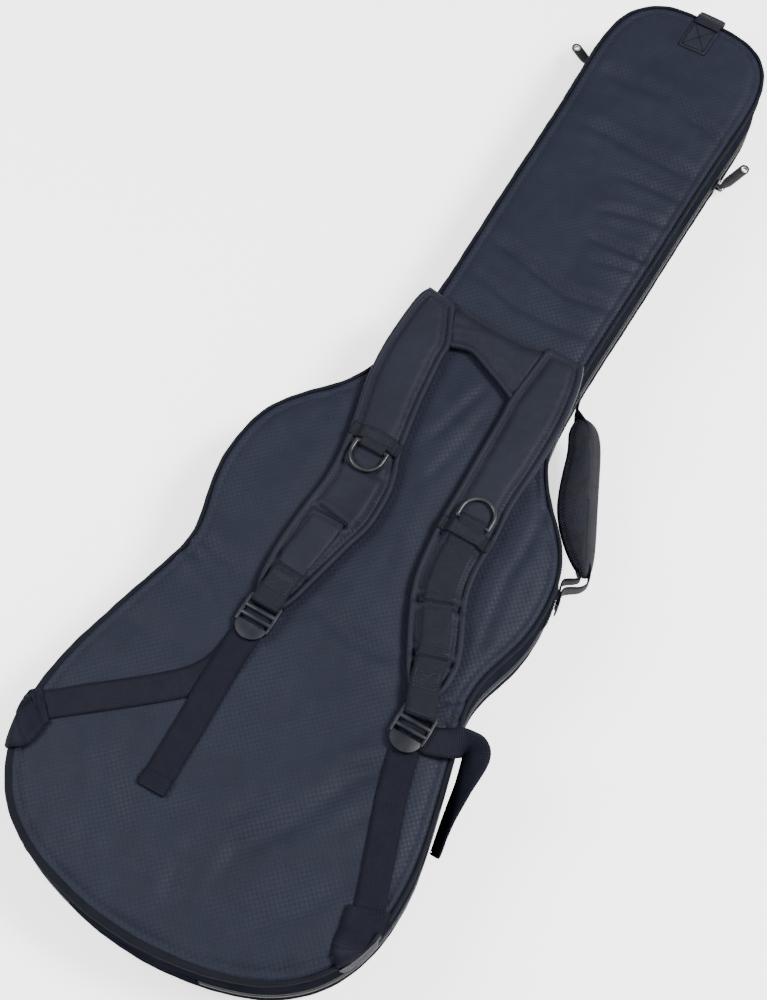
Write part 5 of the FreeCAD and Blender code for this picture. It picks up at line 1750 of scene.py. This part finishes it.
def anchor(name, lead, sides, w0, px, py, nx, ny, w, body, cad):
    """End of the lower webbing: covered by a doubled piece that turns over the panel's edge and is
    sewn to the side.  lead: points on the panel with the width directions in sides."""
    n = np.array([nx, ny, 0.0])
    n /= np.linalg.norm(n)
    t = np.array([-n[1], n[0], 0.0])
    if t @ np.array([*sides[-1], 0.0]) < 0:
        t = -t
    prof = [(1.5, 77.2), (4.3, 75.6), (5.7, 72.6), (6.0, 68.5), (6.1, 62), (5.7, 54), (4.6, 47.5)]
    top = [(x, y, float(panel_top(np.array([[x, y]]))[0]) + 2.5) for x, y in lead]
    path = top + [(px + n[0] * a, py + n[1] * a, z) for a, z in prof]
    ws = list(np.linspace(w0, w, len(lead) + 1)[:-1]) + [w, w, w, w, w - 3, w - 6, w - 9]
    side = [(a, b, 0) for a, b in sides] + [tuple(t)] * len(prof)
    ob = ribbon(name, path, side, ws, 1.6, body, mat="weblow", n=90, replaces=(cad,), drape=lambda P: panel_top(P) + 1.7 * (loop_dist(np.asarray(P, float)[:, :2], WP[::5])[0] > 4.5) - 30.0 * (loop_dist(np.asarray(P, float)[:, :2], WP[::5])[0] < 3.0), clear=0.2)
    # lie on the wall: no vertex further out than the bulging side cloth and the tab's own thickness
    me_ = ob.data
    co = np.zeros(len(me_.vertices) * 3)
    me_.vertices.foreach_get("co", co)
    co = co.reshape(-1, 3) * 1000.0
    for k in range(len(co)):
        i = int(((WP - co[k, :2]) ** 2).sum(1).argmin())
        o = float((co[k, :2] - WP[i]) @ ON[i])
        outer = (k % 14) < 7
        lim = max(float(wall_at(i, co[k, 2])), 1.9 if co[k, 2] > 66 else 0.0) + (2.3 if outer else 0.5)
        if o > lim:
            co[k, :2] -= ON[i] * (o - lim)
    me_.vertices.foreach_set("co", (co / 1000.0).astype(np.float32).ravel())
    me_.update()
    lines = []
    for k in (0.12, 0.20):
        c = np.array(top[0]) * (1 - k * 2) + np.array(top[1]) * (k * 2)
        sd = np.array([*sides[0], 0.0])
        sd /= np.linalg.norm(sd)
        lines.append([c + sd * (w0 / 2 - 2.5) + [0, 0, 1.0], c - sd * (w0 / 2 - 2.5) + [0, 0, 1.0]])
    stitches(name + "_stitching", lines, body, pitch=2.8, length=2.1, r=0.42)
    return ob


anchor("anchor_webbing_left", [(-155.5, -396.5), (-161.0, -402.5), (-165.0, -411.0)], [(0.68, -0.73), (0.62, -0.78), (0.42, -0.91)], 31, -167.2, -418.5, -0.977, -0.21, 46, "back_shell", "anchor_tab_left")
anchor("anchor_webbing_right", [(154.0, -404.0), (157.2, -413.0), (161.0, -423.0)], [(0.86, 0.51), (0.80, 0.60), (0.66, 0.75)], 34, 163.0, -434.5, 0.90, -0.43, 42, "back_shell", "anchor_tab_right")

# ----------------------------------------------------------------- side handle
GRIP = [(88.0, 63), (89.5, 58), (96.5, 45), (101, 27), (108.5, 3), (116, -14), (127, -29), (140, -43), (155, -54.5), (166, -58.5),
        (171.3, -53), (165, -32), (149, 2), (134, 35), (120.5, 65), (109.5, 79), (97, 82.5), (89.5, 80.5), (86.8, 73)]
LOOP_G = bspline_loop(GRIP, 1.8)
if (LOOP_G[:, 0] * np.roll(LOOP_G[:, 1], -1) - np.roll(LOOP_G[:, 0], -1) * LOOP_G[:, 1]).sum() < 0:
    LOOP_G = LOOP_G[::-1]


G_SEAM = catmull([(99.5, 77.0), (108, 63.5), (119.3, 42.0), (138.6, 2.8), (155.2, -31.0), (161.5, -45.0), (163.8, -56.0)], 80)


def grip_h(P, d, pos):
    t = np.clip(d / 6.5, 0, 1)
    h = 5.6 * np.sqrt(np.clip(1 - (1 - t) ** 2, 0, 1)) + 1.6 * (1 - np.exp(-np.maximum(d - 3, 0) / 7.0))
    # a pulled-in line beside the rim on the bag's side, and the seam of the edge band on the other
    sm = line_dist(np.asarray(P, float)[:, :2], G_SEAM)[0]
    h = h - 1.0 * np.exp(-((d - 3.9) / 0.9) ** 2) * sstep((sm - 4.5) / 3.0) - 1.15 * np.exp(-(sm / 1.1) ** 2) * sstep((d - 2) / 3.0)
    return h + 0.25 * fbm(P[:, 0], P[:, 1], 30, 71) * sstep((d - 3) / 4)


grip_ob = pad("handle_grip_cover", LOOP_G, lambda P, d, pos: 39.5 + grip_h(P, d, pos), lambda P, d, pos: 39.5 - grip_h(P, d, pos), [0.6, 1.3, 2.1, 2.9, 3.5, 4.0, 4.6, 5.4, 6.4, 7.2, 8.0, 9.0], 1.9,
              "handle", "grip", 39.5, replaces=("handle_grip",), padded=0.85, slot="grip_fabric", uv_rot=0.72)
# the edge band is a plainer cloth, and its lighter colour is a painted highlight for its lit face: faces on the outer
# side of the seam
grip_ob.data.materials.append(MAT["gripband"])
gc = np.array([tuple(f.center)[:2] for f in grip_ob.data.polygons]) * 1000.0
gs_d, gs_s, gs_side = line_dist(gc, np.vstack([G_SEAM[0] + (-5.0, 8.8), G_SEAM, G_SEAM[-1] + (1.2, -6.0)]))
ref = line_dist(np.array([[150.0, 10.0]]), G_SEAM)[2][0]
grip_ob.data.polygons.foreach_set("material_index", (gs_side == ref).astype(np.int32))
gp = LOOP_G - loop_normals(LOOP_G) * 3.95
gd, _ = loop_dist(gp, LOOP_G)
gp = gp[gd > 3.7]
far = line_dist(gp, G_SEAM)[0] > 7.0
gp = gp[far]
cut = np.where(np.linalg.norm(np.diff(gp, axis=0), axis=1) > 6)[0]
runs = np.split(gp, cut + 1)
if len(runs) > 1 and np.linalg.norm(runs[0][0] - runs[-1][-1]) < 6:
    runs = [np.vstack([runs[-1], runs[0]])] + runs[1:-1]
runs = [r for r in runs if len(r) > 3]
for nm, sgn in (("handle_grip_stitching", 1), ("handle_grip_stitching_under", -1)):
    ln = []
    for r in runs + [G_SEAM[2:-2]]:
        dd, pp = loop_dist(r, LOOP_G)
        ln.append(np.c_[r, 39.5 + sgn * grip_h(r, np.maximum(dd, 0), None)])
    stitches(nm, ln, "handle", pitch=3.6, length=2.6, r=0.38, lift=0.15 * sgn)


def wall_patch(name, y0, y1, z0, z1, body, cad):
    """Sewn webbing patch that follows the bulge of the side wall."""
    sel = [i for i in range(NP) if WP[i, 0] > 0 and y0 <= WP[i, 1] <= y1]
    sel = sorted(sel)
    zz = np.linspace(z0, z1, 10)
    V, U = [], []
    for a, i in enumerate(sel):
        for s in (1, 0):
            for b in (range(10) if s else range(9, -1, -1)):
                e = b in (0, 9)
                o = wall_at(i, zz[b]) + 0.25 + (1.5 - 0.4 * e if s else 0.0)
                V.append((WP[i, 0] + ON[i, 0] * o, WP[i, 1] + ON[i, 1] * o, zz[b]))
                U.append((zz[b], ARC[i]))
    m = 20
    F = grid_faces(len(sel), m, close_m=True) + [tuple(range(m)), tuple(range((len(sel) - 1) * m, len(sel) * m))]
    ob = make(name, V, F, body, "web", U, replaces=(cad,))
    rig.slot(ob, "webbing")

    def on(fy, fz):
        i = sel[int(np.clip(fy, 0, 1) * (len(sel) - 1))]
        z = z0 + (z1 - z0) * fz
        o = wall_at(i, z) + 1.95
        return (WP[i, 0] + ON[i, 0] * o, WP[i, 1] + ON[i, 1] * o, z)
    lines = []
    q = [(0.1, 0.12), (0.9, 0.12), (0.9, 0.88), (0.1, 0.88), (0.1, 0.12), (0.9, 0.88)]
    for (a, b), (c, d) in zip(q[:-1], q[1:]):
        lines.append([on(a + (c - a) * t, b + (d - b) * t) for t in np.linspace(0, 1, 9)])
    lines.append([on(0.9 - 0.8 * t, 0.12 + 0.76 * t) for t in np.linspace(0, 1, 9)])
    stitches(name + "_stitching", lines, body, pitch=2.8, length=2.1, r=0.4, lift=0.0)


wall_patch("handle_anchor_upper", 62, 100, 30.5, 52.5, "back_shell", "handle_patch_upper")
wall_patch("handle_anchor_lower", -116, -80, 30.5, 52.5, "back_shell", "handle_patch_lower")
hwu = ribbon("handle_webbing_upper", [(82.6, 93, 40), (83.6, 86.5, 40), (86.2, 81.0, 40), (91.0, 77.0, 40), (96.5, 73.5, 40), (101.0, 68.5, 40), (104, 61, 40)],
             [(0, 0, 1), (0, 0, 1), (0, 0.1, 1), (0.1, 0.3, 0.95), (0.25, 0.4, 0.88), (0.4, 0.3, 0.86), (0.5, 0.2, 0.86)],
             [22, 22, 21, 18, 15, 12, 10], 1.8, None, mat="weblow", n=70, replaces=("handle_web_upper",), cols=7)
hwl = ribbon("handle_webbing_lower", [(161.0, -41.0, 40), (167.0, -49.0, 40), (170.4, -56.0, 40), (171.2, -62.5, 40), (168.0, -68.4, 40), (161.4, -73.0, 40), (156.6, -77.2, 40), (156.6, -83.0, 40), (158.8, -91, 40), (159.4, -97, 40)],
             [(0.3, 0.1, 0.95), (0.2, 0.0, 0.98), (0, 0, 1), (0, 0, 1), (0, 0, 1), (0, 0, 1), (0, 0, 1), (0, 0, 1), (0, 0, 1), (0, 0, 1)],
             [9, 12, 14, 15, 16, 18, 20, 22, 22, 22], 1.8, None, mat="weblow", n=90, replaces=("handle_web_lower",), cols=7)
hwl2 = ribbon("handle_webbing_lower_return", [(157.5, -53.0, 40), (163.4, -59.4, 40), (160.6, -63.4, 40), (155.4, -66.9, 40), (152.2, -70.2, 40), (152.6, -75.0, 40), (154.8, -82, 40), (157.0, -92, 40)],
              [(0.2, 0, 0.98), (0, 0, 1), (0, 0, 1), (0, 0, 1), (0, 0, 1), (0, 0, 1), (0, 0, 1), (0, 0, 1)],
              [11, 14, 15, 16, 18, 20, 21, 21], 1.6, None, mat="weblow", n=80, cols=7)
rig.blend(hwu, "back_shell", "handle", start=(0.0832, 0.088, 0.040), end=(0.0945, 0.0750, 0.040))
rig.blend(hwl, "back_shell", "handle", start=(0.1566, -0.080, 0.040), end=(0.1700, -0.0655, 0.040))
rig.blend(hwl2, "back_shell", "handle", start=(0.1526, -0.0725, 0.040), end=(0.1620, -0.0605, 0.040))

# ---------------------------------------------------- hang loop and its patch
lp = rounded_rect(-14.5, 14.5, 475, 511.5, 1.0, 2.0)
pad("hang_loop_square", lp, lambda P, d, pos: panel_top(P) + 0.5 + 1.3 * np.clip(d / 0.8, 0, 1) ** 0.5 - 0.12 * np.exp(-((d - 2.8) / 0.8) ** 2), lambda P, d, pos: panel_top(P) + 0.3,
    [0.8, 1.9, 2.8, 3.7], 2.4, "back_shell", "patch", lambda P: panel_top(P) + 0.8, replaces=("hang_loop_patch",), slot="webbing")


def on_patch(x, y):
    return (x, y, float(panel_top(np.array([[x, y]]))[0]) + 1.95)


cs = [(-11.6, 478), (11.6, 478), (11.6, 508.5), (-11.6, 508.5), (-11.6, 478), (11.6, 508.5)]
ln = []
for a, b in list(zip(cs[:-1], cs[1:])) + [((11.6, 478), (-11.6, 508.5))]:
    ln.append([on_patch(a[0] + (b[0] - a[0]) * t, a[1] + (b[1] - a[1]) * t) for t in np.linspace(0, 1, 10)])
stitches("hang_loop_square_stitching", ln, "back_shell", pitch=2.8, length=2.1, r=0.42, mat="fold")
ribbon("hang_loop_tongue", [(0, 509, 76.3), (0, 514, 76.6), (0, 518, 76.2), (0, 521.2, 75.0), (0, 522.9, 73.2)], [(1, 0, 0)] * 5, 26.5, 1.5, "back_shell", n=40)
ribbon("hang_loop_web", [(0, 522.6, 72.2), (0, 525.5, 71.6), (0, 528.6, 70.2), (0, 529.9, 67.6), (0, 529.2, 65.0), (0, 526.4, 63.3), (0, 522.6, 62.6)], [(1, 0, 0)] * 7, 26.5, 1.6, "head_loop", n=60, replaces=("hang_loop",))

# ------------------------------------------------------------ sliders, pulls
for nm in ("zip_slider_left", "zip_slider_right"):
    NODES[nm].data.materials.clear()
    NODES[nm].data.materials.append(MAT["metal"])
    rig.slot(NODES[nm], "black_metal")


def pull(name, px, py, ang, body, cad, L=30.0):
    """Rubber pull on a metal eye: ribbed tab with a punched hole and a steel eyelet at each end."""
    a = math.radians(ang)
    M = Matrix.Translation((px, py, 22.0)) @ Matrix.Rotation(a, 4, "Z")
    w, t = 10.0, 1.8

    def ring_part(cx, r0, r1, z0, z1, n=28):
        v, f = [], []
        for z in (z0, z1):
            for r in (r0, r1):
                for k in range(n):
                    q = 2 * math.pi * k / n
                    v.append((cx + r * math.cos(q), r * math.sin(q), z))
        for k in range(n):
            k2 = (k + 1) % n
            f.append((k, k2, n + k2, n + k))
            f.append((2 * n + k, 3 * n + k, 3 * n + k2, 2 * n + k2))
            f.append((n + k, n + k2, 3 * n + k2, 3 * n + k))
            f.append((k, 2 * n + k, 2 * n + k2, k2))
        return v, f
    # tab outline with a hole at each end, as one strip of quads between the holes
    n = 28
    out, hole = [], []
    v, f = [], []
    cx2 = L - w / 2

    def outer(q):
        c, s = math.cos(q), math.sin(q)
        return c, s
    loop = []
    for k in range(15):
        q = math.pi / 2 + math.pi * k / 14
        loop.append((3.0 * math.cos(q), 3.0 * math.sin(q)))
    loop += [(4, -3.1), (7, -4.0), (9.5, -4.8), (14, -5.0), (20, -5.0)]
    for k in range(19):
        q = -math.pi / 2 + math.pi * k / 18
        loop.append((cx2 + 5.0 * math.cos(q), 5.0 * math.sin(q)))
    loop += [(20, 5.0), (14, 5.0), (9.5, 4.8), (7, 4.0), (4, 3.1)]
    lp = resample(np.array(loop + [loop[0]]), 97)[:-1]
    h1 = [(1.6 * math.cos(2 * math.pi * k / 20), 1.6 * math.sin(2 * math.pi * k / 20)) for k in range(20)]
    h2 = [(L - 6 + 2.2 * math.cos(2 * math.pi * k / 24), 2.2 * math.sin(2 * math.pi * k / 24)) for k in range(24)]
    pts = [Vector(p) for p in lp] + [Vector(p) for p in h1] + [Vector(p) for p in h2]
    n0, n1, n2 = len(lp), 20, 24
    ed = [(i, (i + 1) % n0) for i in range(n0)] + [(n0 + i, n0 + (i + 1) % n1) for i in range(n1)] + [(n0 + n1 + i, n0 + n1 + (i + 1) % n2) for i in range(n2)]
    v2, e2, f2, ov, oe, of = delaunay_2d_cdt(pts, ed, [], 1, 1e-6)
    P = [(q.x, q.y) for q in v2]
    inv = {}
    for k, o in enumerate(ov):
        for i in o:
            inv[i] = k

    def keep(tri):
        c = np.mean([P[i] for i in tri], axis=0)
        return np.hypot(c[0], c[1]) > 1.55 and np.hypot(c[0] - (L - 6), c[1]) > 2.15
    tris = [tuple(t_) for t_ in f2 if keep(t_)]
    N = len(P)
    v = [(x, y, -t / 2) for x, y in P] + [(x, y, t / 2) for x, y in P]
    f = [tuple(reversed(q)) for q in tris] + [tuple(N + i for i in q) for q in tris]
    for a_, b_ in ed:
        i, j = inv[a_], inv[b_]
        f.append((i, j, N + j, N + i))
    parts = [(v, f)]
    smooth_piece(name, parts, body, "pull", replaces=(cad,), slot="pull_metal", M=M, bevel=0.25, segs=2)
    # raised ribs for the thumb, both faces
    ribs = []
    for sx in (1, -1):
        for x in (10.5, 12.9, 15.3, 17.7):
            ribs.append(rod((x, -3.4, sx * 0.85), (x, 3.4, sx * 0.85), 0.42, 8))
    smooth_piece(name + "_ribs", ribs, body, "pull", M=M, bevel=0, slot="pull_metal")
    smooth_piece(name + "_eyelets", [ring_part(L - 5.6, 2.0, 3.7, -1.15, 1.15), ring_part(0, 1.45, 2.7, -1.1, 1.1, 22)], body, "steel", M=M, bevel=0.2, segs=1)


pull("zip_pull_tab_left", -90.1, 449.0, 150, "pull_left", "zip_pull_left")
pull("zip_pull_tab_right", 88.3, 384.0, 72, "pull_right", "zip_pull_right", 39.0)

# ---------------------------------------------------------------- size, finish
now = [list(v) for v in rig.bounds()]
json.dump({"cad": cad_box, "visual": now}, open("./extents.json", "w"))
